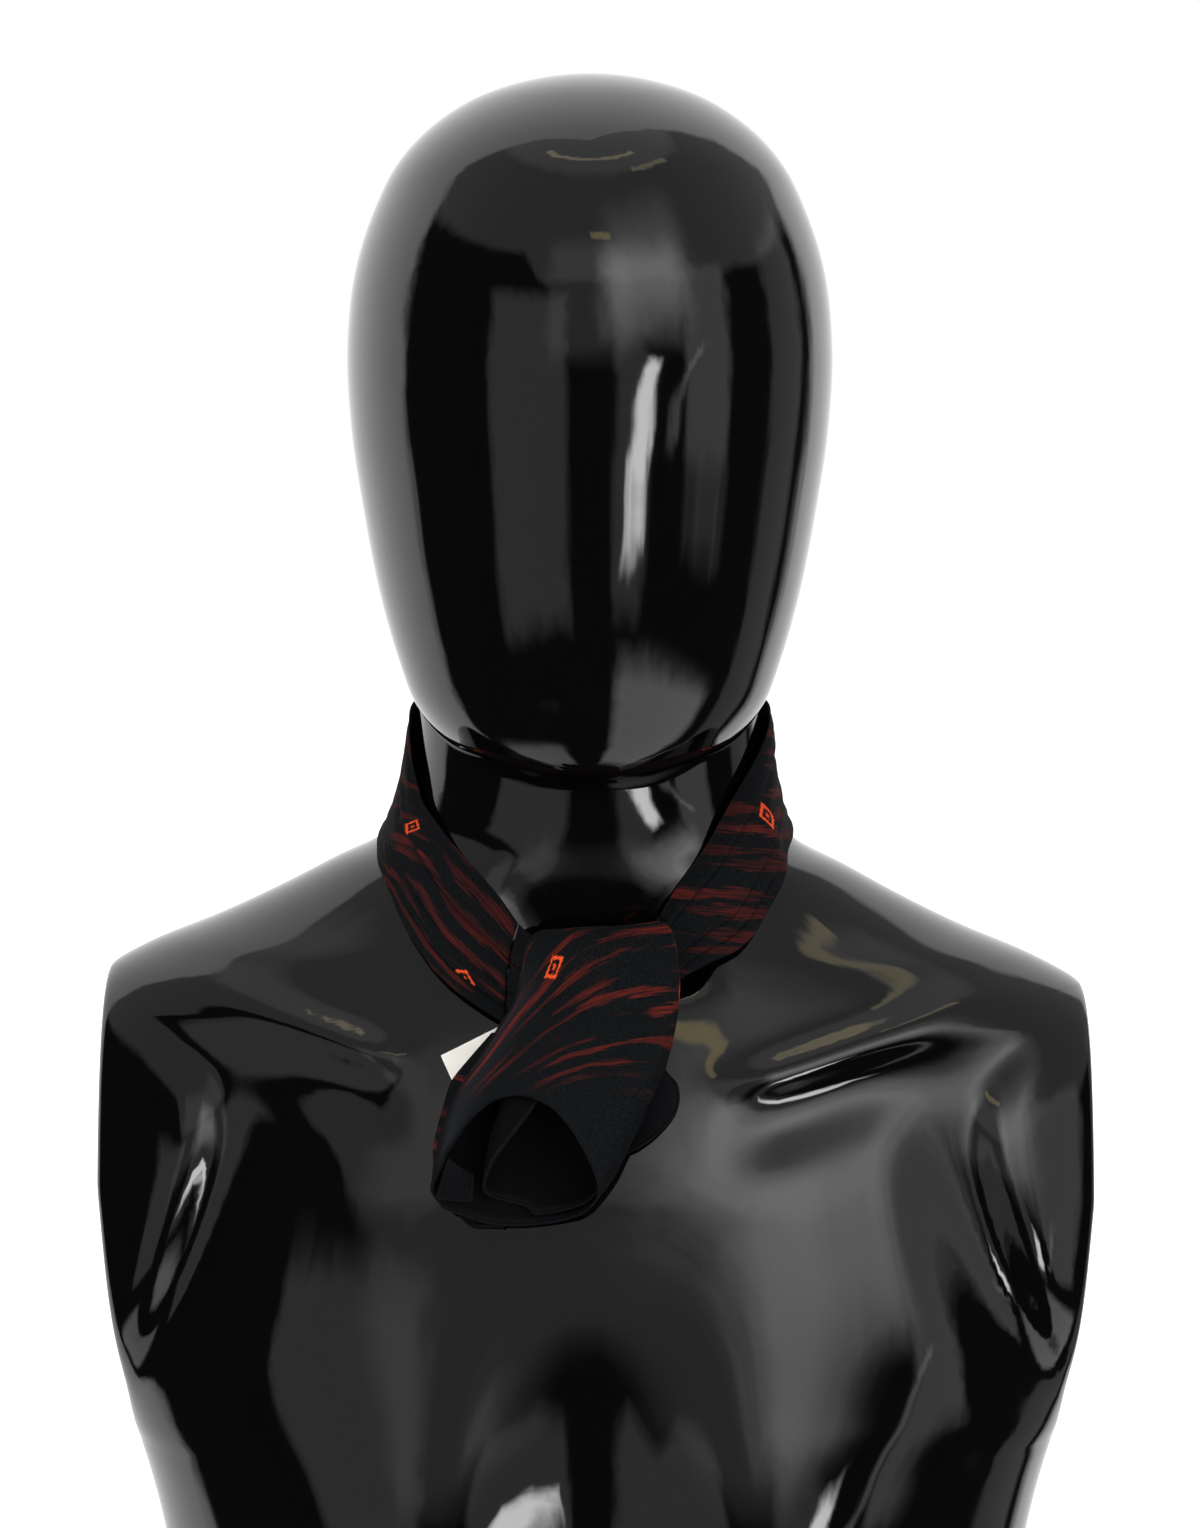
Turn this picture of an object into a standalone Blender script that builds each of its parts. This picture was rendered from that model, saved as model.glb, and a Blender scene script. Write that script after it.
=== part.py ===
# A printed silk scarf, wound once round the neck of an armless display bust and tied in front.
# One end comes up behind the knot, falls forward over it and rolls into an open tube.
# Metres, +Z up. The bust faces -Y and stands on z = 0, with the origin under its middle.

import math
from collections import namedtuple

import bmesh
import bpy
from mathutils import Vector

# Cloth walls. The knot's two ends stand at END_BEARING degrees, with END_GAP between stretches.
WRAP_WALL = 0.0015
KNOT_WALL = 0.0015
FRONT_TAIL_WALL = 0.0013
BACK_TAIL_WALL = 0.0014
LABEL_WALL = 0.0010
SKIN_CLEARANCE = 0.0023
END_BEARING = 21.0
END_GAP = 0.90

# A lapped pleat's lower edge stands PLEAT_LIFT out, and the next starts PLEAT_DROP lower.
# The lift eases off towards the knot (from KNOT_EASE_FROM degrees) and towards the nape.
PLEAT_LIFT = 0.0023
PLEAT_DROP = 0.045
KNOT_LIFT_SHARE = 0.35
KNOT_EASE_FROM = 8
KNOT_EASE_OVER = 28
NAPE_LIFT_LOSS = 0.45
NAPE_EASE_FROM = 80
NAPE_EASE_OVER = 70

# The bust's axis, its flat arm plates and its uneven shoulders
NECK_AXIS_X = -0.0024
NECK_AXIS_Y = 0.006
NECK_LEAN_FROM = 0.240
NECK_LEAN_OVER = 0.060
PLATE_HALF_BREADTH = 0.1955
PLATE_HEIGHT = 0.190
PLATE_LEAN = 0.11
SHOULDER_TILT = 0.0155
TILT_FROM = 0.080
TILT_OVER = 0.120

# Cells of the bust's two surfaces, and the turn above which an edge is shaded sharp
TORSO_SIDES = 60
TORSO_RINGS = 34
HEAD_SIDES = 36
HEAD_RINGS = 22
SHARP_TURN = math.radians(50)

# Horizontal sections of torso and neck, from the flat base up into the head
TorsoSection = namedtuple("TorsoSection", "height half_width front back squareness")
TORSO = (
    TorsoSection(0.000, 0.1652, -0.1060, 0.0980, 2.35),
    TorsoSection(0.050, 0.1740, -0.1110, 0.1020, 2.35),
    TorsoSection(0.085, 0.1838, -0.1125, 0.1050, 2.35),
    TorsoSection(0.110, 0.1960, -0.1120, 0.1070, 2.35),
    TorsoSection(0.150, 0.2190, -0.1085, 0.1100, 2.30),
    TorsoSection(0.190, 0.2255, -0.1015, 0.1115, 2.20),
    TorsoSection(0.225, 0.2240, -0.0915, 0.1100, 2.15),
    TorsoSection(0.250, 0.2160, -0.0825, 0.1065, 2.10),
    TorsoSection(0.268, 0.2000, -0.0755, 0.1020, 2.05),
    TorsoSection(0.281, 0.1776, -0.0705, 0.0980, 2.00),
    TorsoSection(0.293, 0.1486, -0.0655, 0.0930, 2.00),
    TorsoSection(0.305, 0.1236, -0.0610, 0.0880, 2.00),
    TorsoSection(0.317, 0.1010, -0.0580, 0.0825, 2.00),
    TorsoSection(0.325, 0.0845, -0.0568, 0.0785, 2.00),
    TorsoSection(0.333, 0.0760, -0.0564, 0.0750, 2.00),
    TorsoSection(0.345, 0.0708, -0.0567, 0.0705, 2.00),
    TorsoSection(0.357, 0.0694, -0.0575, 0.0675, 2.00),
    TorsoSection(0.375, 0.0688, -0.0590, 0.0645, 2.00),
    TorsoSection(0.420, 0.0680, -0.0600, 0.0620, 2.00),
)

# Horizontal sections of the egg head, whose chin stands forward of the neck
HeadSection = namedtuple("HeadSection", "height half_width half_depth centre_y")
HEAD = (
    HeadSection(0.3512, 0.0000, 0.0000, -0.0420),
    HeadSection(0.3585, 0.0350, 0.0360, -0.0395),
    HeadSection(0.3670, 0.0560, 0.0560, -0.0360),
    HeadSection(0.3810, 0.0680, 0.0710, -0.0310),
    HeadSection(0.3930, 0.0732, 0.0800, -0.0270),
    HeadSection(0.4250, 0.0828, 0.0950, -0.0185),
    HeadSection(0.4570, 0.0893, 0.1045, -0.0130),
    HeadSection(0.4890, 0.0942, 0.1110, -0.0100),
    HeadSection(0.5210, 0.0958, 0.1145, -0.0085),
    HeadSection(0.5530, 0.0922, 0.1115, -0.0080),
    HeadSection(0.5850, 0.0806, 0.0990, -0.0080),
    HeadSection(0.6010, 0.0694, 0.0860, -0.0080),
    HeadSection(0.6170, 0.0485, 0.0600, -0.0080),
    HeadSection(0.6285, 0.0000, 0.0000, -0.0080),
)

# The loop by bearing in degrees: 0 is the front, -90 the bust's own right, 180 the nape.
# An off value is how far the cloth's middle stands from the bust's skin at that edge.
LoopRow = namedtuple("LoopRow", "bearing top_height top_off bottom_height bottom_off bulge")
LOOP = (
    LoopRow(-180, 0.3880, 0.0045, 0.3470, 0.0024, 0.0040),
    LoopRow(-140, 0.3860, 0.0050, 0.3430, 0.0024, 0.0040),
    LoopRow(-110, 0.3820, 0.0040, 0.3375, 0.0020, -0.0004),
    LoopRow(-90, 0.3755, 0.0034, 0.3325, 0.0018, -0.0026),
    LoopRow(-78, 0.3600, 0.0030, 0.3280, 0.0020, -0.0014),
    LoopRow(-66, 0.3440, 0.0024, 0.3215, 0.0022, 0.0006),
    LoopRow(-56, 0.3360, 0.0022, 0.3110, 0.0026, 0.0006),
    LoopRow(-45, 0.3265, 0.0022, 0.2930, 0.0030, 0.0010),
    LoopRow(-36, 0.3180, 0.0022, 0.2785, 0.0030, 0.0014),
    LoopRow(-28, 0.3085, 0.0022, 0.2690, 0.0032, 0.0020),
    LoopRow(-21, 0.2985, 0.0030, 0.2625, 0.0040, 0.0034),
    LoopRow(-16, 0.2945, 0.0066, 0.2605, 0.0064, 0.0056),
    LoopRow(-11, 0.2925, 0.0082, 0.2595, 0.0080, 0.0080),
    LoopRow(0, 0.2915, 0.0094, 0.2590, 0.0085, 0.0100),
    LoopRow(11, 0.2925, 0.0082, 0.2635, 0.0078, 0.0078),
    LoopRow(16, 0.2950, 0.0064, 0.2690, 0.0062, 0.0050),
    LoopRow(21, 0.3012, 0.0030, 0.2770, 0.0040, 0.0026),
    LoopRow(30, 0.3155, 0.0022, 0.2840, 0.0030, 0.0014),
    LoopRow(40, 0.3280, 0.0022, 0.2910, 0.0030, 0.0008),
    LoopRow(52, 0.3440, 0.0022, 0.3080, 0.0026, 0.0006),
    LoopRow(64, 0.3570, 0.0024, 0.3220, 0.0022, 0.0006),
    LoopRow(78, 0.3700, 0.0030, 0.3290, 0.0020, -0.0014),
    LoopRow(90, 0.3775, 0.0034, 0.3325, 0.0018, -0.0026),
    LoopRow(110, 0.3825, 0.0040, 0.3375, 0.0020, -0.0004),
    LoopRow(140, 0.3860, 0.0050, 0.3430, 0.0024, 0.0040),
    LoopRow(180, 0.3880, 0.0045, 0.3470, 0.0024, 0.0040),
)

# Lapped pleats: where each lap ends across the band, 0 at its upper edge and 1 at its lower
RIGHT_LAPS = (0.22, 0.68, 0.86, 1.0)
LEFT_LAPS = (0.36, 0.66, 0.84, 1.0)
LAP_SHARES = (0.0, 0.30, 0.68, 1.0)
BAND_COLUMNS = len(LAP_SHARES) * len(RIGHT_LAPS) - 1
LOOP_STATIONS = 62
KNOT_STATIONS = 12

# The front tail: a sleeve along a line that rises behind the knot, folds over it and falls.
# left_radius and right_radius round the sleeve's two sides, crown fills out its front, and
# tilt raises its left side as the bust wears it.
TailRow = namedtuple("TailRow", "step y height centre_x half_width left_radius right_radius crown tilt")
TAIL = (
    TailRow(0, -0.0722, 0.2850, 0.0000, 0.0100, 0.0013, 0.0013, 0.0000, 0.00),
    TailRow(1, -0.0706, 0.2905, 0.0000, 0.0115, 0.0013, 0.0013, 0.0000, 0.00),
    TailRow(2, -0.0718, 0.2947, 0.0004, 0.0150, 0.0013, 0.0013, 0.0000, 0.03),
    TailRow(3, -0.0775, 0.2968, 0.0010, 0.0215, 0.0013, 0.0013, 0.0000, 0.06),
    TailRow(4, -0.0845, 0.2957, 0.0014, 0.0265, 0.0013, 0.0013, 0.0000, 0.08),
    TailRow(5, -0.0912, 0.2908, 0.0014, 0.0288, 0.0014, 0.0014, 0.0000, 0.08),
    TailRow(6, -0.0957, 0.2830, 0.0014, 0.0300, 0.0015, 0.0016, 0.0002, 0.06),
    TailRow(7, -0.0980, 0.2735, 0.0004, 0.0312, 0.0018, 0.0022, 0.0006, 0.03),
    TailRow(8, -0.1005, 0.2620, -0.0037, 0.0337, 0.0024, 0.0050, 0.0014, 0.01),
    TailRow(9, -0.1050, 0.2490, -0.0095, 0.0360, 0.0034, 0.0090, 0.0024, 0.00),
    TailRow(10, -0.1110, 0.2360, -0.0167, 0.0372, 0.0040, 0.0130, 0.0030, 0.00),
    TailRow(11, -0.1175, 0.2220, -0.0227, 0.0363, 0.0042, 0.0155, 0.0034, 0.00),
    TailRow(12, -0.1225, 0.2070, -0.0279, 0.0334, 0.0040, 0.0165, 0.0034, 0.00),
    TailRow(13, -0.1262, 0.1880, -0.0353, 0.0253, 0.0038, 0.0165, 0.0034, 0.00),
)
# The rings down to TAIL_FOLD_STEP run level, and those below it end on the slanted rim
TAIL_RINGS = 26
TAIL_FOLD_SHARE = 0.62
TAIL_FOLD_STEP = 8.0
TAIL_SIDE_CELLS = 8
TAIL_ROUND_CELLS = 6
TAIL_RUN_STEP = 0.05
RIM_HALVINGS = 24

# The tail's slanted mouth: the rim's height by its place round the sleeve, from the middle
# of its right side (0), over the front (0.25), its left side (0.5) and its back (0.75)
MouthRow = namedtuple("MouthRow", "place height")
MOUTH = (
    MouthRow(0.000, 0.1985),
    MouthRow(0.042, 0.2060),
    MouthRow(0.083, 0.2140),
    MouthRow(0.125, 0.2225),
    MouthRow(0.200, 0.2345),
    MouthRow(0.245, 0.2385),
    MouthRow(0.285, 0.2398),
    MouthRow(0.320, 0.2378),
    MouthRow(0.347, 0.2310),
    MouthRow(0.375, 0.2170),
    MouthRow(0.420, 0.2090),
    MouthRow(0.500, 0.2035),
    MouthRow(0.600, 0.2010),
    MouthRow(0.670, 0.1975),
    MouthRow(0.760, 0.1925),
    MouthRow(0.880, 0.1925),
    MouthRow(0.950, 0.1950),
    MouthRow(1.000, 0.1985),
)

# The back tail: its side edges by share of its drop, and its two ends by share of its
# width, from the bust's own right to its left. The upper end is tucked behind the knot.
SpreadRow = namedtuple("SpreadRow", "share left right")
BACK_TAIL = (
    SpreadRow(0.00, -0.0400, 0.0200),
    SpreadRow(0.16, -0.0480, 0.0222),
    SpreadRow(0.31, -0.0549, 0.0242),
    SpreadRow(0.42, -0.0572, 0.0262),
    SpreadRow(0.53, -0.0590, 0.0308),
    SpreadRow(0.70, -0.0614, 0.0304),
    SpreadRow(0.86, -0.0620, 0.0232),
    SpreadRow(1.00, -0.0590, 0.0120),
)
EndRow = namedtuple("EndRow", "share top hem")
BACK_TAIL_ENDS = (
    EndRow(0.00, 0.2580, 0.2020),
    EndRow(0.14, 0.2590, 0.1890),
    EndRow(0.22, 0.2605, 0.1872),
    EndRow(0.32, 0.2640, 0.1880),
    EndRow(0.44, 0.2680, 0.1940),
    EndRow(0.60, 0.2680, 0.1990),
    EndRow(1.00, 0.2660, 0.2140),
)
BACK_TAIL_OFF = 0.0015
BACK_TAIL_PLEATS = 3.5
BACK_TAIL_PLEAT_DEPTH = 0.0011
BACK_TAIL_COLUMNS = 22
BACK_TAIL_ROWS = 14

# The blank label behind the back tail's left edge, by its centre in the front view, and
# where and how far the tail stands off to leave it room
LABEL_X = -0.0456
LABEL_HEIGHT = 0.2503
LABEL_LENGTH = 0.026
LABEL_BREADTH = 0.0100
LABEL_TURN = math.radians(26)
LABEL_OFF = 0.0010
LABEL_COLUMNS = 8
LABEL_ROWS = 4
LABEL_ROOM = 0.0017
LABEL_ROOM_FROM_X = -0.022
LABEL_ROOM_FROM_HEIGHT = 0.230
LABEL_ROOM_OVER = 0.012

SILK = (0.030, 0.032, 0.036, 1.0)
SILK_KNOT = (0.075, 0.030, 0.028, 1.0)
SILK_TAIL = (0.110, 0.030, 0.026, 1.0)
LACQUER = (0.010, 0.010, 0.011, 1.0)
LABEL_WHITE = (0.80, 0.79, 0.75, 1.0)
SILK_ROUGHNESS = 0.62
LACQUER_ROUGHNESS = 0.06
LABEL_ROUGHNESS = 0.75


# Value of a named column at a place along a table, on a smooth curve through its rows
def along(rows, column, where):
    key = rows[0]._fields[0]
    places = [getattr(row, key) for row in rows]
    values = [getattr(row, column) for row in rows]
    if where <= places[0]:
        return values[0]
    if where >= places[-1]:
        return values[-1]
    low = max(i for i in range(len(rows) - 1) if places[i] <= where)
    span = places[low + 1] - places[low]

    def slope(i):
        before, after = max(i - 1, 0), min(i + 1, len(rows) - 1)
        return (values[after] - values[before]) / (places[after] - places[before])

    t = (where - places[low]) / span
    return (
        (1 + 2 * t) * (1 - t) ** 2 * values[low]
        + t * (1 - t) ** 2 * span * slope(low)
        + t * t * (3 - 2 * t) * values[low + 1]
        + t * t * (t - 1) * span * slope(low + 1)
    )


def smooth_step(t):
    t = min(max(t, 0.0), 1.0)
    return t * t * (3 - 2 * t)


# The neck stands a little towards the bust's own right of the chest's middle
def axis_x(height):
    return NECK_AXIS_X * smooth_step((height - NECK_LEAN_FROM) / NECK_LEAN_OVER)


# How far the bust's shoulder line raises a place x, because its own right is the higher
def shoulder_rise(x, height):
    return -SHOULDER_TILT * x * smooth_step((height - TILT_FROM) / TILT_OVER)


# Distance from the neck's axis to the bust's skin at a bearing and a height
def skin_radius(bearing, height):
    angle = math.radians(bearing)
    radius = 0.0
    for _ in range(3):
        level = height - shoulder_rise(radius * math.sin(angle), height)
        power = along(TORSO, "squareness", level)
        edge = "front" if math.cos(angle) > 0 else "back"
        depth = abs(along(TORSO, edge, level) - NECK_AXIS_Y)
        across = abs(math.sin(angle)) / along(TORSO, "half_width", level)
        deep = abs(math.cos(angle)) / depth
        radius = (across**power + deep**power) ** (-1 / power)
    return radius


# Y of the bust's front skin at a place seen from the front
def skin_front(x, height):
    level = height - shoulder_rise(x, height)
    power = along(TORSO, "squareness", level)
    across = min(abs(x - axis_x(level)) / along(TORSO, "half_width", level), 0.999)
    depth = NECK_AXIS_Y - along(TORSO, "front", level)
    return NECK_AXIS_Y - depth * (1 - across**power) ** (1 / power)


def make_material(name, colour, roughness):
    material = bpy.data.materials.new(name)
    material.use_nodes = True
    shader = material.node_tree.nodes["Principled BSDF"]
    shader.inputs["Base Color"].default_value = colour
    shader.inputs["Roughness"].default_value = roughness
    shader.inputs["Metallic"].default_value = 0.0
    return material


def make_object(name, mesh_source, material):
    mesh = bpy.data.meshes.new(name)
    mesh_source.to_mesh(mesh)
    mesh_source.free()
    mesh.shade_smooth()
    mesh.set_sharp_from_angle(angle=SHARP_TURN)
    mesh.materials.append(material)
    made = bpy.data.objects.new(name, mesh)
    bpy.context.scene.collection.objects.link(made)
    return made


# A grid of cells whose points are moved to place(u, v), u and v from 0 to 1.
# Edges that come to lie on each other are joined, so a round of u makes a tube.
def placed_grid(columns, rows, place):
    grid = bmesh.new()
    bmesh.ops.create_grid(grid, x_segments=columns, y_segments=rows, size=0.5)
    for point in grid.verts:
        point.co = place(point.co.x + 0.5, point.co.y + 0.5)
    bmesh.ops.remove_doubles(grid, verts=grid.verts, dist=1e-6)
    return grid


# A cloth wall: the grid is its middle, and the wall stands half its thickness to each side
def cloth_wall(name, grid, wall, material):
    made = make_object(name, grid, material)
    thick = made.modifiers.new("Wall", "SOLIDIFY")
    thick.thickness = wall
    thick.offset = 0.0
    return made


# Torso and neck as one loft with two flat arm plates and a flat base
def torso_place(u, v):
    height = TORSO[-1].height * v
    turn = 2 * math.pi * u
    power = 2 / along(TORSO, "squareness", height)
    side, ahead = math.sin(turn), math.cos(turn)
    edge = "front" if ahead > 0 else "back"
    depth = abs(along(TORSO, edge, height) - NECK_AXIS_Y)
    x = math.copysign(abs(side) ** power, side) * along(TORSO, "half_width", height)
    y = NECK_AXIS_Y - math.copysign(abs(ahead) ** power, ahead) * depth
    plate = PLATE_HALF_BREADTH - PLATE_LEAN * max(0.0, PLATE_HEIGHT - height)
    x = max(-plate, min(plate, x + axis_x(height)))
    return Vector((x, y, height + shoulder_rise(x, height)))


def build_form():
    torso = placed_grid(TORSO_SIDES, TORSO_RINGS, torso_place)
    bmesh.ops.holes_fill(torso, edges=torso.edges, sides=TORSO_SIDES + 1)
    bmesh.ops.recalc_face_normals(torso, faces=torso.faces)
    body = make_object("display_form", torso, make_material("lacquer", LACQUER, LACQUER_ROUGHNESS))

    head = bmesh.new()
    bmesh.ops.create_uvsphere(head, u_segments=HEAD_SIDES, v_segments=HEAD_RINGS, radius=1)
    squares = [
        HeadSection(row.height, row.half_width**2, row.half_depth**2, row.centre_y)
        for row in HEAD
    ]
    bottom = HEAD[0].height
    for point in head.verts:
        height = bottom + (point.co.z + 1) / 2 * (HEAD[-1].height - bottom)
        round_off = math.hypot(point.co.x, point.co.y) or 1.0
        half_width = math.sqrt(max(along(squares, "half_width", height), 0.0))
        half_depth = math.sqrt(max(along(squares, "half_depth", height), 0.0))
        point.co = (
            NECK_AXIS_X + point.co.x / round_off * half_width,
            along(squares, "centre_y", height) + point.co.y / round_off * half_depth,
            height,
        )
    cutter = make_object("head_guide", head, body.data.materials[0])
    cutter.hide_render = True
    cutter.display_type = "WIRE"
    join = body.modifiers.new("Head", "BOOLEAN")
    join.operation = "UNION"
    join.object = cutter
    return body


# 0 where the band lies as on the bust's own right, 1 as on its left, blended at nape and knot
def left_side_share(bearing):
    turn = bearing % 360
    if 90 <= turn <= 270:
        return 1 - smooth_step((turn - 90) / 180)
    return smooth_step((bearing + END_BEARING) / (2 * END_BEARING))


# The band's place across (0 to 1) and its pleat's lift for one column at one bearing
def lap_at(column, bearing):
    share = left_side_share(bearing)
    laps = [0.0] + [b * share + a * (1 - share) for a, b in zip(RIGHT_LAPS, LEFT_LAPS)]
    lap, step = divmod(column, len(LAP_SHARES))
    start = laps[lap] + (PLEAT_DROP if lap else 0.0)
    across = start + LAP_SHARES[step] * (laps[lap + 1] - start)
    nape_ease = smooth_step((abs(bearing) - NAPE_EASE_FROM) / NAPE_EASE_OVER)
    knot_ease = smooth_step((abs(bearing) - KNOT_EASE_FROM) / KNOT_EASE_OVER)
    strength = 1 - NAPE_LIFT_LOSS * nape_ease
    strength *= KNOT_LIFT_SHARE + (1 - KNOT_LIFT_SHARE) * knot_ease
    return across, PLEAT_LIFT * strength * LAP_SHARES[step]


# A point of the band, by bearing and by column from its upper to its lower edge
def band_point(bearing, column):
    bearing = (bearing + 180) % 360 - 180
    row = {name: along(LOOP, name, bearing) for name in LoopRow._fields}
    across, lift = lap_at(column, bearing)
    height = row["top_height"] * (1 - across) + row["bottom_height"] * across
    top = skin_radius(bearing, row["top_height"]) + row["top_off"]
    bottom = skin_radius(bearing, row["bottom_height"]) + row["bottom_off"]
    radius = top * (1 - across) + bottom * across + row["bulge"] * math.sin(math.pi * across)
    radius = max(radius, skin_radius(bearing, height) + SKIN_CLEARANCE) + lift
    angle = math.radians(bearing)
    x = axis_x(height) + radius * math.sin(angle)
    return Vector((x, NECK_AXIS_Y - radius * math.cos(angle), height))


def build_neck_wrap(silk):
    start = END_BEARING + END_GAP / 2

    def place(u, v):
        return band_point(-start - v * (360 - 2 * start), round(u * BAND_COLUMNS))

    grid = placed_grid(BAND_COLUMNS, LOOP_STATIONS, place)
    return cloth_wall("neck_wrap", grid, WRAP_WALL, silk)


def build_knot(silk):
    reach = END_BEARING - END_GAP / 2

    def place(u, v):
        return band_point(-reach + v * 2 * reach, round(u * BAND_COLUMNS))

    grid = placed_grid(BAND_COLUMNS, KNOT_STATIONS, place)
    return cloth_wall("knot_wrap", grid, KNOT_WALL, silk)


# A point of the sleeve's section at a step of its line, by its place round the section
def sleeve_point(place, step):
    row = {name: along(TAIL, name, step) for name in TailRow._fields}
    ahead = min(step + TAIL_RUN_STEP, TAIL[-1].step)
    behind = max(step - TAIL_RUN_STEP, TAIL[0].step)
    run_y = along(TAIL, "y", ahead) - along(TAIL, "y", behind)
    run_z = along(TAIL, "height", ahead) - along(TAIL, "height", behind)
    length = math.hypot(run_y, run_z)
    out_y, out_z = run_z / length, -run_y / length

    side, quarter = divmod((place + 0.125) % 1.0, 0.5)
    radius = row["left_radius"] if side else row["right_radius"]
    other = row["right_radius"] if side else row["left_radius"]
    if quarter <= 0.25:
        turn = math.pi * (quarter / 0.25 - 0.5)
        across = row["half_width"] - radius + radius * math.cos(turn)
        out = radius * math.sin(turn)
    else:
        share = (quarter - 0.25) / 0.25
        first, last = row["half_width"] - radius, other - row["half_width"]
        across = first * (1 - share) + last * share
        out = radius * (1 - share) + other * share
        out += row["crown"] * math.sin(math.pi * share)
    if side:
        across, out = -across, -out
    height = row["height"] + out_z * out + row["tilt"] * across
    return Vector((row["centre_x"] + across, row["y"] + out_y * out, height))


# The step at which the sleeve reaches its rim, at one place round it
def mouth_step(place):
    rim = along(MOUTH, "height", place % 1.0)
    low, high = TAIL_FOLD_STEP, float(TAIL[-1].step)
    for _ in range(RIM_HALVINGS):
        middle = (low + high) / 2
        if sleeve_point(place, middle).z > rim:
            low = middle
        else:
            high = middle
    return low


# Place round the sleeve of its grid's columns: each round side and each flat is a quarter
def column_place(column):
    cells = TAIL_SIDE_CELLS + TAIL_ROUND_CELLS
    half, at = divmod(column, cells)
    if at <= TAIL_ROUND_CELLS:
        return half * 0.5 - 0.125 + 0.25 * at / TAIL_ROUND_CELLS
    return half * 0.5 + 0.125 + 0.25 * (at - TAIL_ROUND_CELLS) / TAIL_SIDE_CELLS


def build_front_tail(silk):
    cells = 2 * (TAIL_SIDE_CELLS + TAIL_ROUND_CELLS)
    places = [column_place(i) for i in range(cells + 1)]
    ends = [mouth_step(p) for p in places]

    def place(u, v):
        column = round(u * cells)
        step = min(v / TAIL_FOLD_SHARE, 1.0) * TAIL_FOLD_STEP
        rest = max(v - TAIL_FOLD_SHARE, 0.0) / (1 - TAIL_FOLD_SHARE)
        step += rest * (ends[column] - TAIL_FOLD_STEP)
        return sleeve_point(places[column], step)

    grid = placed_grid(cells, TAIL_RINGS, place)
    return cloth_wall("front_tail", grid, FRONT_TAIL_WALL, silk)


# Room that the back tail leaves for the label between itself and the chest
def label_room(x, height):
    beside = smooth_step((LABEL_ROOM_FROM_X - x) / LABEL_ROOM_OVER)
    above = smooth_step((height - LABEL_ROOM_FROM_HEIGHT) / LABEL_ROOM_OVER)
    return LABEL_ROOM * beside * above


def build_back_tail(silk):
    def place(u, v):
        x = along(BACK_TAIL, "left", v) * (1 - u) + along(BACK_TAIL, "right", v) * u
        height = along(BACK_TAIL_ENDS, "top", u) * (1 - v) + along(BACK_TAIL_ENDS, "hem", u) * v
        wave = BACK_TAIL_PLEAT_DEPTH * (1 - math.cos(2 * math.pi * BACK_TAIL_PLEATS * u))
        off = BACK_TAIL_OFF + label_room(x, height) + wave
        return Vector((x, skin_front(x, height) - off, height))

    grid = placed_grid(BACK_TAIL_COLUMNS, BACK_TAIL_ROWS, place)
    return cloth_wall("back_tail", grid, BACK_TAIL_WALL, silk)


def build_label():
    def place(u, v):
        along_it = (u - 0.5) * LABEL_LENGTH
        across_it = (v - 0.5) * LABEL_BREADTH
        x = LABEL_X + along_it * math.cos(LABEL_TURN) - across_it * math.sin(LABEL_TURN)
        height = LABEL_HEIGHT + along_it * math.sin(LABEL_TURN) + across_it * math.cos(LABEL_TURN)
        return Vector((x, skin_front(x, height) - LABEL_OFF, height))

    grid = placed_grid(LABEL_COLUMNS, LABEL_ROWS, place)
    white = make_material("label", LABEL_WHITE, LABEL_ROUGHNESS)
    return cloth_wall("care_label", grid, LABEL_WALL, white)


def build_scarf():
    build_neck_wrap(make_material("silk_loop", SILK, SILK_ROUGHNESS))
    build_knot(make_material("silk_knot", SILK_KNOT, SILK_ROUGHNESS))
    build_front_tail(make_material("silk_front", SILK_TAIL, SILK_ROUGHNESS))
    build_back_tail(make_material("silk_back", SILK, SILK_ROUGHNESS))
    build_label()


for leftover in list(bpy.data.objects):
    bpy.data.objects.remove(leftover)
build_form()
build_scarf()
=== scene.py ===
# Printed silk scarf, tied round the neck of a glossy black display bust
import math

import bmesh
import bpy
from mathutils import Matrix, Vector, noise


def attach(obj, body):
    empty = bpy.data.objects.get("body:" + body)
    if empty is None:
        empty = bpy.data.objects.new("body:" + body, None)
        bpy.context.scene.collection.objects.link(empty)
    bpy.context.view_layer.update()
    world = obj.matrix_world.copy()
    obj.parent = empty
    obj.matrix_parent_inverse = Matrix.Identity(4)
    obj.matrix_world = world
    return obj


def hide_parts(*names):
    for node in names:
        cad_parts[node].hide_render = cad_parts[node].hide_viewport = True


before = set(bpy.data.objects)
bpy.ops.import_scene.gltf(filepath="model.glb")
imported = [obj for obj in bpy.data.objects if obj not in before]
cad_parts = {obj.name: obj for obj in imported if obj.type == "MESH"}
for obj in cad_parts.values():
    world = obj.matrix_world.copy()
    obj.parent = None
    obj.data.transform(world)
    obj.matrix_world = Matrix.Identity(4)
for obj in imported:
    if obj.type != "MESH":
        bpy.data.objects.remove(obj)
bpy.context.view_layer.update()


# helpers: smooth curves through small tables, cloth grids and shader nodes
def smoothStep(t):
    t = min(max(t, 0.0), 1.0)
    return t * t * (3 - 2 * t)


def mix(a, b, t):
    return a * (1 - t) + b * t


def bell(distance, spread):
    return math.exp(-((distance / spread) ** 2))


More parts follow.
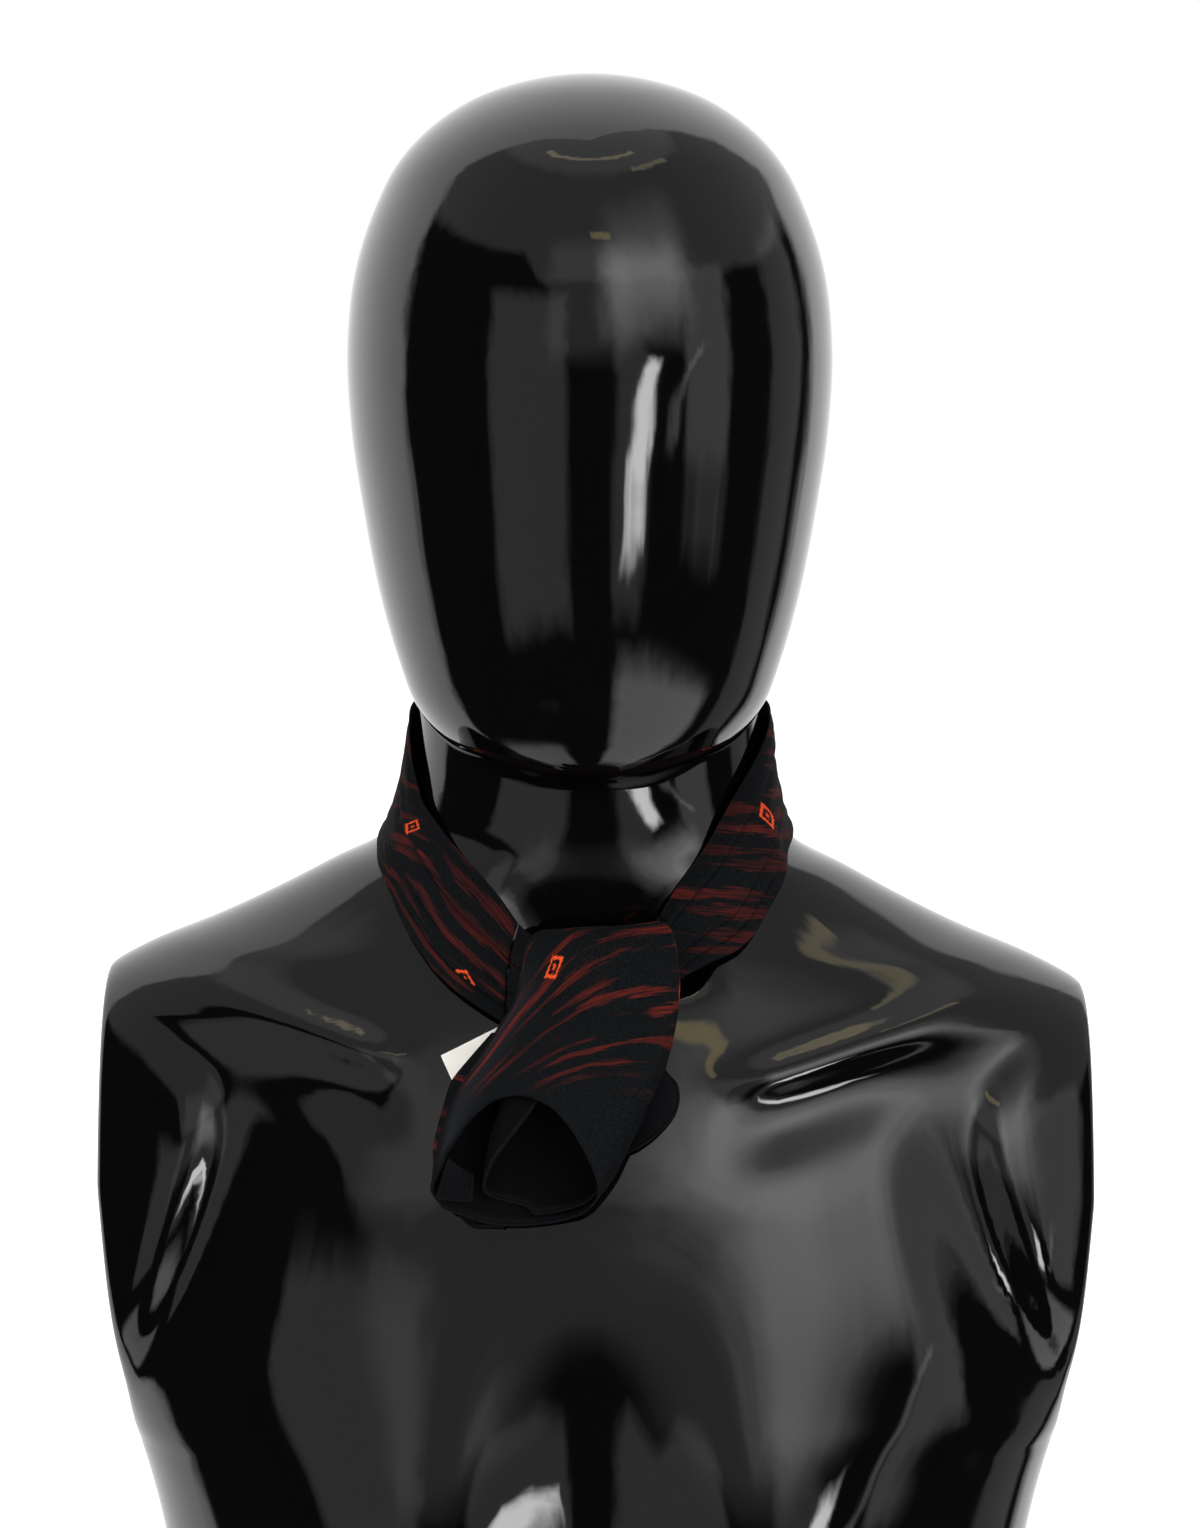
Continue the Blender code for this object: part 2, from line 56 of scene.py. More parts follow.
# a smooth curve through one named column of a table, kept as a fine run of samples
def curveOf(table, column, samples=900):
    places = [row[0] for row in table["rows"]]
    at = table["columns"].split().index(column)
    values = [row[at] for row in table["rows"]]
    low, high = places[0], places[-1]

    def slope(i):
        before, after = max(i - 1, 0), min(i + 1, len(places) - 1)
        return (values[after] - values[before]) / (places[after] - places[before])

    fine, i = [], 0
    for k in range(samples + 1):
        where = low + (high - low) * k / samples
        while i < len(places) - 2 and places[i + 1] < where:
            i += 1
        span = places[i + 1] - places[i]
        t = (where - places[i]) / span
        fine.append(
            (1 + 2 * t) * (1 - t) ** 2 * values[i]
            + t * (1 - t) ** 2 * span * slope(i)
            + t * t * (3 - 2 * t) * values[i + 1]
            + t * t * (t - 1) * span * slope(i + 1)
        )

    def curve(where):
        t = (where - low) / (high - low) * samples
        if t <= 0:
            return fine[0]
        if t >= samples:
            return fine[-1]
        k = int(t)
        return fine[k] + (fine[k + 1] - fine[k]) * (t - k)

    return curve


def curvesOf(table):
    return {name: curveOf(table, name) for name in table["columns"].split()[1:]}


# soft unevenness: a value from about -1 to 1, the same on every run
def ripple(x, y, seed):
    return noise.noise(Vector((x, y, seed * 7.31)))


# a grid moved to place(u, v), with flat(u, v) as its place in the flat cloth, in metres
def clothGrid(columns, rows, place, flat=None, **shades):
    grid = bmesh.new()
    bmesh.ops.create_grid(grid, x_segments=columns, y_segments=rows, size=0.5)
    if flat:
        layer = grid.loops.layers.uv.new("cloth")
        for face in grid.faces:
            for loop in face.loops:
                loop[layer].uv = flat(loop.vert.co.x + 0.5, loop.vert.co.y + 0.5)
    for name, value in shades.items():
        shade = grid.verts.layers.float.new(name)
        for point in grid.verts:
            point[shade] = value(point.co.x + 0.5, point.co.y + 0.5)
    for point in grid.verts:
        point.co = place(point.co.x + 0.5, point.co.y + 0.5)
    bmesh.ops.remove_doubles(grid, verts=grid.verts, dist=1e-6)
    return grid


def finishPiece(name, work, material, sharp=60):
    mesh = bpy.data.meshes.new(name)
    work.to_mesh(mesh)
    work.free()
    mesh.shade_smooth()
    mesh.set_sharp_from_angle(angle=math.radians(sharp))
    mesh.materials.append(material)
    piece = bpy.data.objects.new(name, mesh)
    bpy.context.scene.collection.objects.link(piece)
    return piece


def thicken(piece, wall):
    thick = piece.modifiers.new("clothThickness", "SOLIDIFY")
    thick.thickness = wall
    thick.offset = 0.0
    return piece


# a rolled hem: a thin tube along path(v), v from 0 to 1, finer at its two ends
def hemTube(name, path, stations, radius, material):
    sides, breadth, ahead = 8, 0.006, 0.004
    length = sum((path((k + 1) / 40) - path(k / 40)).length for k in range(40))

    def place(u, v):
        run = (path(min(v + ahead, 1.0)) - path(max(v - ahead, 0.0))).normalized()
        across = run.cross(Vector((0, 0.3, 1))).normalized()
        other = run.cross(across)
        ends = 0.35 + 0.65 * smoothStep(min(v, 1 - v) * 30)
        turn = 2 * math.pi * u
        return path(v) + (across * math.cos(turn) + other * math.sin(turn)) * radius * ends

    def flat(u, v):
        return (length * v, u * breadth)

    tube = clothGrid(sides, stations, place, flat, bare=lambda u, v: 2.0)
    bmesh.ops.holes_fill(tube, edges=tube.edges, sides=sides + 1)
    bmesh.ops.recalc_face_normals(tube, faces=tube.faces)
    return finishPiece(name, tube, material)


def newMaterial(name):
    material = bpy.data.materials.new(name)
    material.use_nodes = True
    return material, material.node_tree, material.node_tree.nodes["Principled BSDF"]


def feed(tree, socket, value):
    if isinstance(value, bpy.types.NodeSocket):
        tree.links.new(value, socket)
    elif value is not None:
        socket.default_value = value


# adds a node, sets its properties, and links or sets its inputs in their order
def addNode(tree, kind, *inputs, **properties):
    node = tree.nodes.new("ShaderNode" + kind)
    for key, value in properties.items():
        setattr(node, key, value)
    for socket, value in zip(node.inputs, inputs):
        feed(tree, socket, value)
    return node


def setShader(tree, shader, values):
    for name, value in values.items():
        feed(tree, shader.inputs[name], value)


def calc(tree, operation, a, b=None, c=None):
    return addNode(tree, "Math", a, b, c, operation=operation).outputs[0]


# adds gain for each unit that another value is past its middle
def nudge(tree, value, other, gain, middle=0.5):
    return calc(tree, "MULTIPLY_ADD", calc(tree, "SUBTRACT", other, middle), gain, value)


def ranged(tree, value, low, high, first=0.0, last=1.0, **how):
    return addNode(tree, "MapRange", value, low, high, first, last, **how).outputs[0]


def grain(tree, place, scale, detail, roughness, **how):
    return addNode(tree, "TexNoise", place, None, scale, detail, roughness, **how).outputs[0]


def blend(tree, share, first, second):
    between = [share] + [None] * 5 + [first, second]
    return addNode(tree, "Mix", *between, data_type="RGBA").outputs[2]


def dimmed(colour, shade):
    return tuple(shade * part for part in colour[:3]) + (1,)


# warp and weft as two crossing sets of ribs
def weave(tree, place, scales, waver):
    ribs = [
        addNode(tree, "TexWave", place, scale, waver, 1.0, wave_type="BANDS", bands_direction=way)
        for scale, way in zip(scales, "XY")
    ]
    return calc(tree, "ADD", ribs[0].outputs[1], ribs[1].outputs[1])


# camera at the photograph's angle
cameraSettings = {
    "target": (0.0016, 0.0, 0.3556),
    "elevation": 4.0,
    "distance": 1.8,
    "lens": 106.02,
    "sensor": 36.0,
}


def makeCamera(settings):
    tilt = math.radians(settings["elevation"])
    lens = bpy.data.cameras.new("photoCamera")
    lens.lens = settings["lens"]
    lens.sensor_width = settings["sensor"]
    lens.sensor_fit = "AUTO"
    camera = bpy.data.objects.new("photoCamera", lens)
    back = Vector((0, -math.cos(tilt), math.sin(tilt))) * settings["distance"]
    camera.location = Vector(settings["target"]) + back
    camera.rotation_euler = (math.radians(90) - tilt, 0, 0)
    bpy.context.scene.collection.objects.link(camera)
    bpy.context.scene.camera = camera


makeCamera(cameraSettings)
print("camera placed")


# the lacquered bust: torso and neck in horizontal sections, and an egg head
bustSettings = {
    "sections": {
        "columns": "height halfWidth front back squareness",
        "rows": [
            (0.000, 0.1652, -0.1060, 0.0980, 2.35),
            (0.050, 0.1740, -0.1110, 0.1020, 2.35),
            (0.085, 0.1838, -0.1125, 0.1050, 2.35),
            (0.110, 0.1960, -0.1120, 0.1070, 2.35),
            (0.150, 0.2190, -0.1085, 0.1100, 2.30),
            (0.190, 0.2255, -0.1015, 0.1115, 2.20),
            (0.225, 0.2240, -0.0915, 0.1100, 2.15),
            (0.250, 0.2160, -0.0825, 0.1065, 2.10),
            (0.268, 0.2000, -0.0755, 0.1020, 2.05),
            (0.281, 0.1776, -0.0705, 0.0980, 2.00),
            (0.293, 0.1486, -0.0655, 0.0930, 2.00),
            (0.305, 0.1236, -0.0610, 0.0880, 2.00),
            (0.317, 0.1010, -0.0580, 0.0825, 2.00),
            (0.325, 0.0845, -0.0568, 0.0785, 2.00),
            (0.333, 0.0760, -0.0564, 0.0750, 2.00),
            (0.345, 0.0708, -0.0567, 0.0705, 2.00),
            (0.357, 0.0694, -0.0575, 0.0675, 2.00),
            (0.375, 0.0688, -0.0590, 0.0645, 2.00),
            (0.420, 0.0680, -0.0600, 0.0620, 2.00),
        ],
    },
    "head": {
        "columns": "height halfWidth halfDepth centreY",
        "rows": [
            (0.3487, 0.0000, 0.0000, -0.0340),
            (0.3497, 0.0225, 0.0340, -0.0350),
            (0.3530, 0.0335, 0.0480, -0.0350),
            (0.3585, 0.0435, 0.0580, -0.0345),
            (0.3670, 0.0568, 0.0655, -0.0328),
            (0.3810, 0.0680, 0.0730, -0.0298),
            (0.3930, 0.0732, 0.0800, -0.0270),
            (0.4250, 0.0828, 0.0950, -0.0185),
            (0.4570, 0.0893, 0.1045, -0.0130),
            (0.4890, 0.0942, 0.1110, -0.0100),
            (0.5210, 0.0958, 0.1145, -0.0085),
            (0.5530, 0.0922, 0.1115, -0.0080),
            (0.5850, 0.0806, 0.0990, -0.0080),
            (0.6010, 0.0694, 0.0860, -0.0080),
            (0.6170, 0.0485, 0.0600, -0.0080),
            (0.6285, 0.0000, 0.0000, -0.0080),
        ],
    },
    "neckX": -0.0024,
    "neckY": 0.006,
    "leanFrom": 0.240,
    "leanOver": 0.060,
    "plateBreadth": 0.1955,
    "plateHeight": 0.190,
    "plateLean": 0.11,
    "plateRounding": 0.0045,
    "tilt": 0.0155,
    "tiltFrom": 0.080,
    "tiltOver": 0.120,
    "frontColumns": 46,
    "plateColumns": 16,
    "backColumns": 34,
    "lowRings": (0.0, 0.0006, 0.0018),
    # ring spacing by height: from, to, spacing
    "rings": [
        (0.0035, 0.200, 0.0042),
        (0.200, 0.240, 0.0022),
        (0.240, 0.286, 0.0012),
        (0.286, 0.346, 0.0026),
        (0.346, 0.420, 0.0046),
    ],
    # lines of the chest's soft relief: where each runs, how far it stands out, and its spread
    "grooves": {
        "columns": "height x depth spread",
        "rows": [
            (0.096, 0.1860, 0.0000, 0.012),
            (0.112, 0.1790, -0.0070, 0.012),
            (0.130, 0.1710, -0.0110, 0.012),
            (0.155, 0.1600, -0.0130, 0.012),
            (0.190, 0.1475, -0.0120, 0.012),
            (0.215, 0.1420, -0.0090, 0.012),
            (0.235, 0.1450, -0.0055, 0.013),
            (0.250, 0.1580, -0.0020, 0.013),
            (0.258, 0.1700, 0.0000, 0.013),
        ],
    },
    "collarbone": {
        "columns": "x height depth spread",
        "rows": [
            (0.036, 0.2360, 0.0000, 0.006),
            (0.050, 0.2385, 0.0040, 0.007),
            (0.075, 0.2450, 0.0045, 0.008),
            (0.110, 0.2560, 0.0038, 0.008),
            (0.145, 0.2660, 0.0022, 0.009),
            (0.175, 0.2720, 0.0000, 0.010),
        ],
    },
    "underBone": {"share": 0.55, "below": 0.020, "spread": 0.013},
    "chest": {"x": 0.082, "height": 0.045, "spreadX": 0.066, "spreadZ": 0.075, "rise": 0.0165},
    "breastbone": {"x": -0.004, "spread": 0.009, "under": 0.160, "depth": 0.0035},
    "neckHollow": {
        "height": 0.280,
        "above": 0.026,
        "below": 0.007,
        "halfWidth": 0.046,
        "fade": 0.020,
        "depth": 0.0123,
    },
    "clothed": {"x": -0.012, "height": 0.232, "halfWidth": 0.056, "halfHeight": 0.060},
    "lacquerRoughness": (0.018, 0.055),
}
sections = curvesOf(bustSettings["sections"])


def axisX(height):
    s = bustSettings
    return s["neckX"] * smoothStep((height - s["leanFrom"]) / s["leanOver"])


def shoulderRise(x, height):
    s = bustSettings
    return -s["tilt"] * x * smoothStep((height - s["tiltFrom"]) / s["tiltOver"])


def skinRadius(bearing, height):
    angle = math.radians(bearing)
    radius = 0.0
    for _ in range(3):
        level = height - shoulderRise(radius * math.sin(angle), height)
        power = sections["squareness"](level)
        edge = "front" if math.cos(angle) > 0 else "back"
        depth = abs(sections[edge](level) - bustSettings["neckY"])
        across = abs(math.sin(angle)) / sections["halfWidth"](level)
        deep = abs(math.cos(angle)) / depth
        radius = (across**power + deep**power) ** (-1 / power)
    return radius


def skinFront(x, height):
    level = height - shoulderRise(x, height)
    power = sections["squareness"](level)
    across = min(abs(x - axisX(level)) / sections["halfWidth"](level), 0.999)
    depth = bustSettings["neckY"] - sections["front"](level)
    return bustSettings["neckY"] - depth * (1 - across**power) ** (1 / power)


def makeRelief(settings):
    groove = curvesOf(settings["grooves"])
    bone = curvesOf(settings["collarbone"])
    grooveRows, boneRows = settings["grooves"]["rows"], settings["collarbone"]["rows"]
    under, full, line = settings["underBone"], settings["chest"], settings["breastbone"]
    hollow, cloth = settings["neckHollow"], settings["clothed"]

    # how far the front skin stands forward of the plain sections
    def relief(x, height):
        side = abs(x)
        out = 0.0
        if grooveRows[0][0] < height < grooveRows[-1][0]:
            beside = side - groove["x"](height)
            spread = groove["spread"](height) * (1.0 if beside > 0 else 2.3)
            out += groove["depth"](height) * bell(beside, spread)
        if boneRows[0][0] < side < boneRows[-1][0]:
            above = height - bone["height"](side)
            out += bone["depth"](side) * bell(above, bone["spread"](side))
            below = bell(above + under["below"], under["spread"])
            out -= under["share"] * bone["depth"](side) * below
        chest = bell(side - full["x"], full["spreadX"])
        chest *= bell(height - full["height"], full["spreadZ"])
        chest *= smoothStep((side - 0.004) / 0.05) * smoothStep((height - 0.004) / 0.03)
        out += full["rise"] * chest
        breastbone = smoothStep((line["under"] - height) / 0.06)
        out -= line["depth"] * bell(x - line["x"], line["spread"]) * breastbone
        # the neck draws in behind the knot's upper half, and is nearly plain again at the back tail
        rise = height - hollow["height"]
        neck = -hollow["depth"] * bell(rise, hollow["above" if rise > 0 else "below"])
        neck *= smoothStep((hollow["halfWidth"] - side) / hollow["fade"])
        # the chest's relief fades out under the cloth
        clothed = math.hypot(
            (x - cloth["x"]) / cloth["halfWidth"], (height - cloth["height"]) / cloth["halfHeight"])
        return out * smoothStep((clothed - 1.0) / 0.45) + neck

    return relief


def makeLacquer(settings):
    material, tree, shader = newMaterial("blackLacquer")
    coords = addNode(tree, "TexCoord").outputs["Object"]
    dust = grain(tree, coords, 900.0, 3.0, 0.6)
    haze = grain(tree, coords, 14.0, 3.0, 0.55)
    peel = grain(tree, coords, 55.0, 1.0, 0.4)
    tone = addNode(tree, "ValToRGB", dust)
    tone.color_ramp.elements[0].position = 0.55
    tone.color_ramp.elements[0].color = (0.0006, 0.0006, 0.0007, 1)
    tone.color_ramp.elements[1].position = 0.80
    tone.color_ramp.elements[1].color = (0.0020, 0.0020, 0.0022, 1)
    setShader(tree, shader, {
        "Base Color": tone.outputs[0],
        "Roughness": ranged(tree, haze, 0.35, 0.7, *settings["lacquerRoughness"]),
        "Normal": addNode(tree, "Bump", 0.010, 0.004, None, peel).outputs[0],
        "IOR": 1.55,
        "Coat Weight": 0.25,
        "Coat Roughness": 0.03,
    })
    return material


def makeBust(settings, material):
    relief = makeRelief(settings)
    heights = list(settings["lowRings"])
    for low, high, gap in settings["rings"]:
        count = max(round((high - low) / gap), 1)
        heights += [low + (high - low) * k / count for k in range(count)]
    heights.append(settings["rings"][-1][1])
    frontCells, plateCells = settings["frontColumns"], settings["plateColumns"]
    half = frontCells + plateCells + settings["backColumns"]

    def sectionPoint(turn, height):
        power = 2 / sections["squareness"](height)
        edge = "front" if turn < math.pi / 2 else "back"
        depth = abs(sections[edge](height) - settings["neckY"])
        x = abs(math.sin(turn)) ** power * sections["halfWidth"](height)
        y = settings["neckY"] - math.copysign(abs(math.cos(turn)) ** power, math.cos(turn)) * depth
        return x, y

    def plateAt(height, side):
        return (
            settings["plateBreadth"]
            - settings["plateLean"] * max(0.0, settings["plateHeight"] - height)
            - side * axisX(height)
        )

    # the turns at which the flat arm plate starts and ends, so that columns run along its rim
    def plateTurns(height, side):
        steps = 120
        past = []
        for k in range(steps + 1):
            turn = math.pi * (0.15 + 0.7 * k / steps)
            x = sectionPoint(turn, height)[0]
            past.append((x - plateAt(height, side), turn))
        peak = max(past)[1]
        inside = [turn for over, turn in past if over > 0]
        first = min(inside[0] if inside else peak, peak - 0.05)
        last = max(inside[-1] if inside else peak, peak + 0.05)
        for _ in range(12):  # sharpen the two rims
            for at, way in ((0, -1), (1, 1)):
                edge = (first, last)[at]
                x = sectionPoint(edge, height)[0]
                slip = (x - plateAt(height, side)) * 2.0
                if inside:
                    edge += way * min(max(slip, -0.01), 0.01)
                if at == 0:
                    first = min(edge, peak - 0.05)
                else:
                    last = max(edge, peak + 0.05)
        return first, last

    turns = [(plateTurns(h, 1), plateTurns(h, -1)) for h in heights]

    def place(u, v):
        ring = round(v * (len(heights) - 1))
        height = heights[ring]
        at = round(u * 2 * half) % (2 * half)
        side = 1 if at <= half else -1
        column = at if side == 1 else 2 * half - at
        first, last = turns[ring][0 if side == 1 else 1]
        if column <= frontCells:
            turn = first * (1 - (1 - column / frontCells) ** 1.5)
        elif column <= frontCells + plateCells:
            w = (column - frontCells) / plateCells
            turn = mix(first, last, w - 0.8 * math.sin(2 * math.pi * w) / (2 * math.pi))
        else:
            w = (column - frontCells - plateCells) / settings["backColumns"]
            turn = mix(last, math.pi, w**1.5)
        x, y = sectionPoint(turn, height)
        plate = plateAt(height, side)
        gap = math.hypot(x - plate, settings["plateRounding"])
        if x > 0.12:
            x = (x + plate - gap) / 2 + 0.25 * settings["plateRounding"] ** 2 / max(gap, 1e-6)
        rim = 1 - 0.016 * smoothStep(1 - height / 0.0035)
        x = side * x * rim + axisX(height)
        y = settings["neckY"] + (y - settings["neckY"]) * rim
        if turn < math.pi / 2:
            y -= relief(x, height) * smoothStep((math.pi / 2 - turn) / 0.25)
        return Vector((x, y, height + shoulderRise(x, height)))

    body = clothGrid(2 * half, len(heights) - 1, place)
    bmesh.ops.holes_fill(body, edges=body.edges, sides=2 * half + 1)
    bmesh.ops.recalc_face_normals(body, faces=body.faces)
    bust = finishPiece("displayBust", body, material, sharp=38)

    head = bmesh.new()
    bmesh.ops.create_uvsphere(head, u_segments=112, v_segments=84, radius=1)
    widths = curvesOf(settings["head"])
    rows = settings["head"]["rows"]
    squares = {"columns": "height halfWidth halfDepth",
               "rows": [(r[0], r[1] ** 2, r[2] ** 2) for r in rows]}
    widths.update(curvesOf(squares))
    for point in head.verts:
        height = mix(rows[0][0], rows[-1][0], (point.co.z + 1) / 2)
        around = math.hypot(point.co.x, point.co.y) or 1.0
        wide = math.sqrt(max(widths["halfWidth"](height), 0.0))
        deep = math.sqrt(max(widths["halfDepth"](height), 0.0))
        point.co = (
            settings["neckX"] + point.co.x / around * wide,
            widths["centreY"](height) + point.co.y / around * deep,
            height,
        )
    egg = finishPiece("headGuide", head, material, sharp=80)
    join = bust.modifiers.new("headJoin", "BOOLEAN")
    join.operation = "UNION"
    join.object = egg
    joined = bust.evaluated_get(bpy.context.evaluated_depsgraph_get())
    ready = bpy.data.meshes.new_from_object(joined)
    bust.modifiers.clear()
    bust.data = ready
    ready.name = "displayBust"
    ready.set_sharp_from_angle(angle=math.radians(38))
    bpy.data.objects.remove(egg)
    return bust


bust = makeBust(bustSettings, makeLacquer(bustSettings))
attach(bust, "root")
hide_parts("display_form")
print("bust made,", len(bust.data.polygons), "faces")


# printed silk: charcoal ground, feathered dark red streaks and a few small open diamonds
silkSettings = {
    "streakPitch": 0.0080,
    "streakLength": 0.038,
    "streakGain": 1.7,
    "streakSpare": 0.02,
    "streakWidest": 0.27,
    "rowSway": 0.0085,
    "rowShift": 0.50,
    "patchGain": 1.2,
    "patchMiddle": 0.44,
    "fibreScale": (70, 1300, 1),
    "fibreGain": 0.70,
    "inkEdge": (-0.04, 0.13),
    "diamondCell": (0.044, 0.052),
    "diamondSize": 0.0036,
    "diamondSquash": 0.8,
    "diamondLine": (0.0009, 0.0004),
    "diamondDot": (0.0013, 0.0007),
    "diamondOdds": 0.50,
    "ground": (0.0013, 0.0015, 0.0018, 1),
    "groundPale": (0.0036, 0.0041, 0.0048, 1),
    # a paler grey-blue for rolled edges and hem lips: a painted sheen
    "paintedSheenEdge": (0.0085, 0.0098, 0.0122, 1),
    "darkRed": (0.0230, 0.0034, 0.0028, 1),
    "red": (0.0760, 0.0072, 0.0046, 1),
    "orange": (0.4200, 0.0420, 0.0080, 1),
}


def makeSilk(name, settings, printShift, streakCut=0.50, sheer=1.0, shade=1.0):
    s = settings
    material, tree, shader = newMaterial(name)
    cloth = addNode(tree, "UVMap", uv_map="cloth").outputs[0]
    moved = addNode(tree, "Mapping", cloth, (*printShift, 0)).outputs[0]
    stretched = addNode(tree, "Mapping", moved, None, None, s["fibreScale"]).outputs[0]
    wander = grain(tree, moved, 30.0, 2.0, 0.5, noise_dimensions="2D")
    crepe = grain(tree, cloth, 900.0, 3.0, 0.65, noise_dimensions="2D")
    fibre = grain(tree, stretched, 1.0, 2.0, 0.6, noise_dimensions="2D")
    patches = grain(tree, moved, 17.0, 1.0, 0.4, noise_dimensions="2D")
    along, across = addNode(tree, "SeparateXYZ", moved).outputs[:2]
    bare, unmarked, softness = (
        addNode(tree, "Attribute", attribute_name=shade).outputs[2]
        for shade in ("bare", "unmarked", "soft")
    )

    # rows of streaks, each shifted and broken up by its own random value
    sway = calc(tree, "MULTIPLY_ADD", wander, s["rowSway"], across)
    rows = calc(tree, "DIVIDE", sway, s["streakPitch"])
    row = calc(tree, "FLOOR", rows)
    chance = addNode(tree, "TexWhiteNoise", None, row, noise_dimensions="1D").outputs[0]
    inRow = calc(tree, "SUBTRACT", calc(tree, "FRACT", rows), 0.5)
    inRow = nudge(tree, inRow, chance, s["rowShift"])
    runX = calc(tree, "DIVIDE", along, s["streakLength"])
    runX = calc(tree, "MULTIPLY_ADD", chance, 37.0, runX)
    runPlace = addNode(tree, "CombineXYZ", runX, calc(tree, "MULTIPLY", row, 3.7)).outputs[0]
    run = grain(tree, runPlace, 1.0, 1.0, 0.4, noise_dimensions="2D")
    width = nudge(tree, s["streakSpare"], run, s["streakGain"], streakCut)
    width = nudge(tree, width, patches, s["patchGain"], s["patchMiddle"])
    width = calc(tree, "MINIMUM", width, s["streakWidest"])
    edge = calc(tree, "SUBTRACT", width, calc(tree, "ABSOLUTE", inRow))
    edge = nudge(tree, edge, fibre, s["fibreGain"])
    ink = ranged(tree, edge, *s["inkEdge"], interpolation_type="SMOOTHSTEP")
    fade = ranged(tree, fibre, 0.34, 0.66, 0.25)
    kept = addNode(tree, "Math", 1.0, bare, operation="SUBTRACT", use_clamp=True).outputs[0]
    ink = calc(tree, "MULTIPLY", calc(tree, "MULTIPLY", ink, fade), kept)

    # small diamonds with an open middle and a dot, in a few of the cells of a loose grid
    grid = [calc(tree, "DIVIDE", at, size) for at, size in zip((along, across), s["diamondCell"])]
    cell = addNode(tree, "CombineXYZ", *[calc(tree, "FLOOR", at) for at in grid]).outputs[0]
    dice = addNode(tree, "TexWhiteNoise", cell, noise_dimensions="2D")
    lots = addNode(tree, "SeparateColor", dice.outputs[1]).outputs[:3]
    away = []
    for at, size, lot in zip(grid, s["diamondCell"], lots):
        middle = calc(tree, "MULTIPLY_ADD", lot, 0.5, 0.25)
        off = calc(tree, "SUBTRACT", calc(tree, "FRACT", at), middle)
        away.append(calc(tree, "ABSOLUTE", calc(tree, "MULTIPLY", off, size)))
    reach = calc(tree, "MULTIPLY_ADD", away[1], s["diamondSquash"], away[0])
    reach = nudge(tree, reach, fibre, 0.0016)
    reach = nudge(tree, reach, crepe, 0.0022)
    ring = calc(tree, "ABSOLUTE", calc(tree, "SUBTRACT", reach, s["diamondSize"]))
    line = ranged(tree, ring, *s["diamondLine"])
    dot = ranged(tree, reach, *s["diamondDot"], 0.0, 0.8)
    drawn = calc(tree, "GREATER_THAN", lots[2], s["diamondOdds"])
    mark = calc(tree, "MULTIPLY", calc(tree, "MAXIMUM", line, dot), drawn)
    allowed = calc(tree, "LESS_THAN", calc(tree, "MAXIMUM", bare, unmarked), 0.95)
    mark = calc(tree, "MULTIPLY", mark, allowed)

    # a shade below 1 dims the ground colour, and is used as painted shade
    ground = blend(tree, ranged(tree, crepe, 0.35, 0.7),
                   dimmed(s["ground"], shade), dimmed(s["groundPale"], shade))
    # the soft attribute mixes in the paler edge colour: painted sheen on rolled edges and hem lips
    base = blend(tree, softness, ground, s["paintedSheenEdge"])
    redTone = blend(tree, ranged(tree, run, 0.45, 0.72, 0.15), s["darkRed"], s["red"])
    printed = blend(tree, ink, base, redTone)
    threads = calc(tree, "MULTIPLY_ADD", crepe, 2.2, weave(tree, cloth, (620.0, 620.0), 1.5))
    setShader(tree, shader, {
        "Base Color": blend(tree, mark, printed, s["orange"]),
        "Normal": addNode(tree, "Bump", 0.22, 0.0004, None, threads).outputs[0],
        "Roughness": ranged(tree, crepe, 0.3, 0.7, 0.66, 0.82),
        "Specular IOR Level": 0.07,
        "Sheen Weight": 0.006,
        "Sheen Roughness": 0.55,
        "Sheen Tint": (0.62, 0.70, 0.85, 1),
        "Alpha": sheer,
    })
    return material


silkBand = makeSilk("printedSilkBand", silkSettings, (0.013, 0.004), 0.50)
silkKnot = makeSilk("printedSilkKnot", silkSettings, (0.050, 0.021))
silkFlap = makeSilk("printedSilkFlap", silkSettings, (0.047, 0.019), 0.44)
# a copy of the silk with its ground dimmed to 0.35, painted shade for the inside of the front tail and
# its inner roll
silkInnerPaintedShade = makeSilk("innerSilkPaintedShade", silkSettings, (0.090, 0.035), 0.90, shade=0.35)
silkPlain = makeSilk("plainSilkHem", silkSettings, (0.090, 0.035), 0.90)
silkSheer = makeSilk("sheerSilkCorner", silkSettings, (0.090, 0.035), 0.90, sheer=0.80)


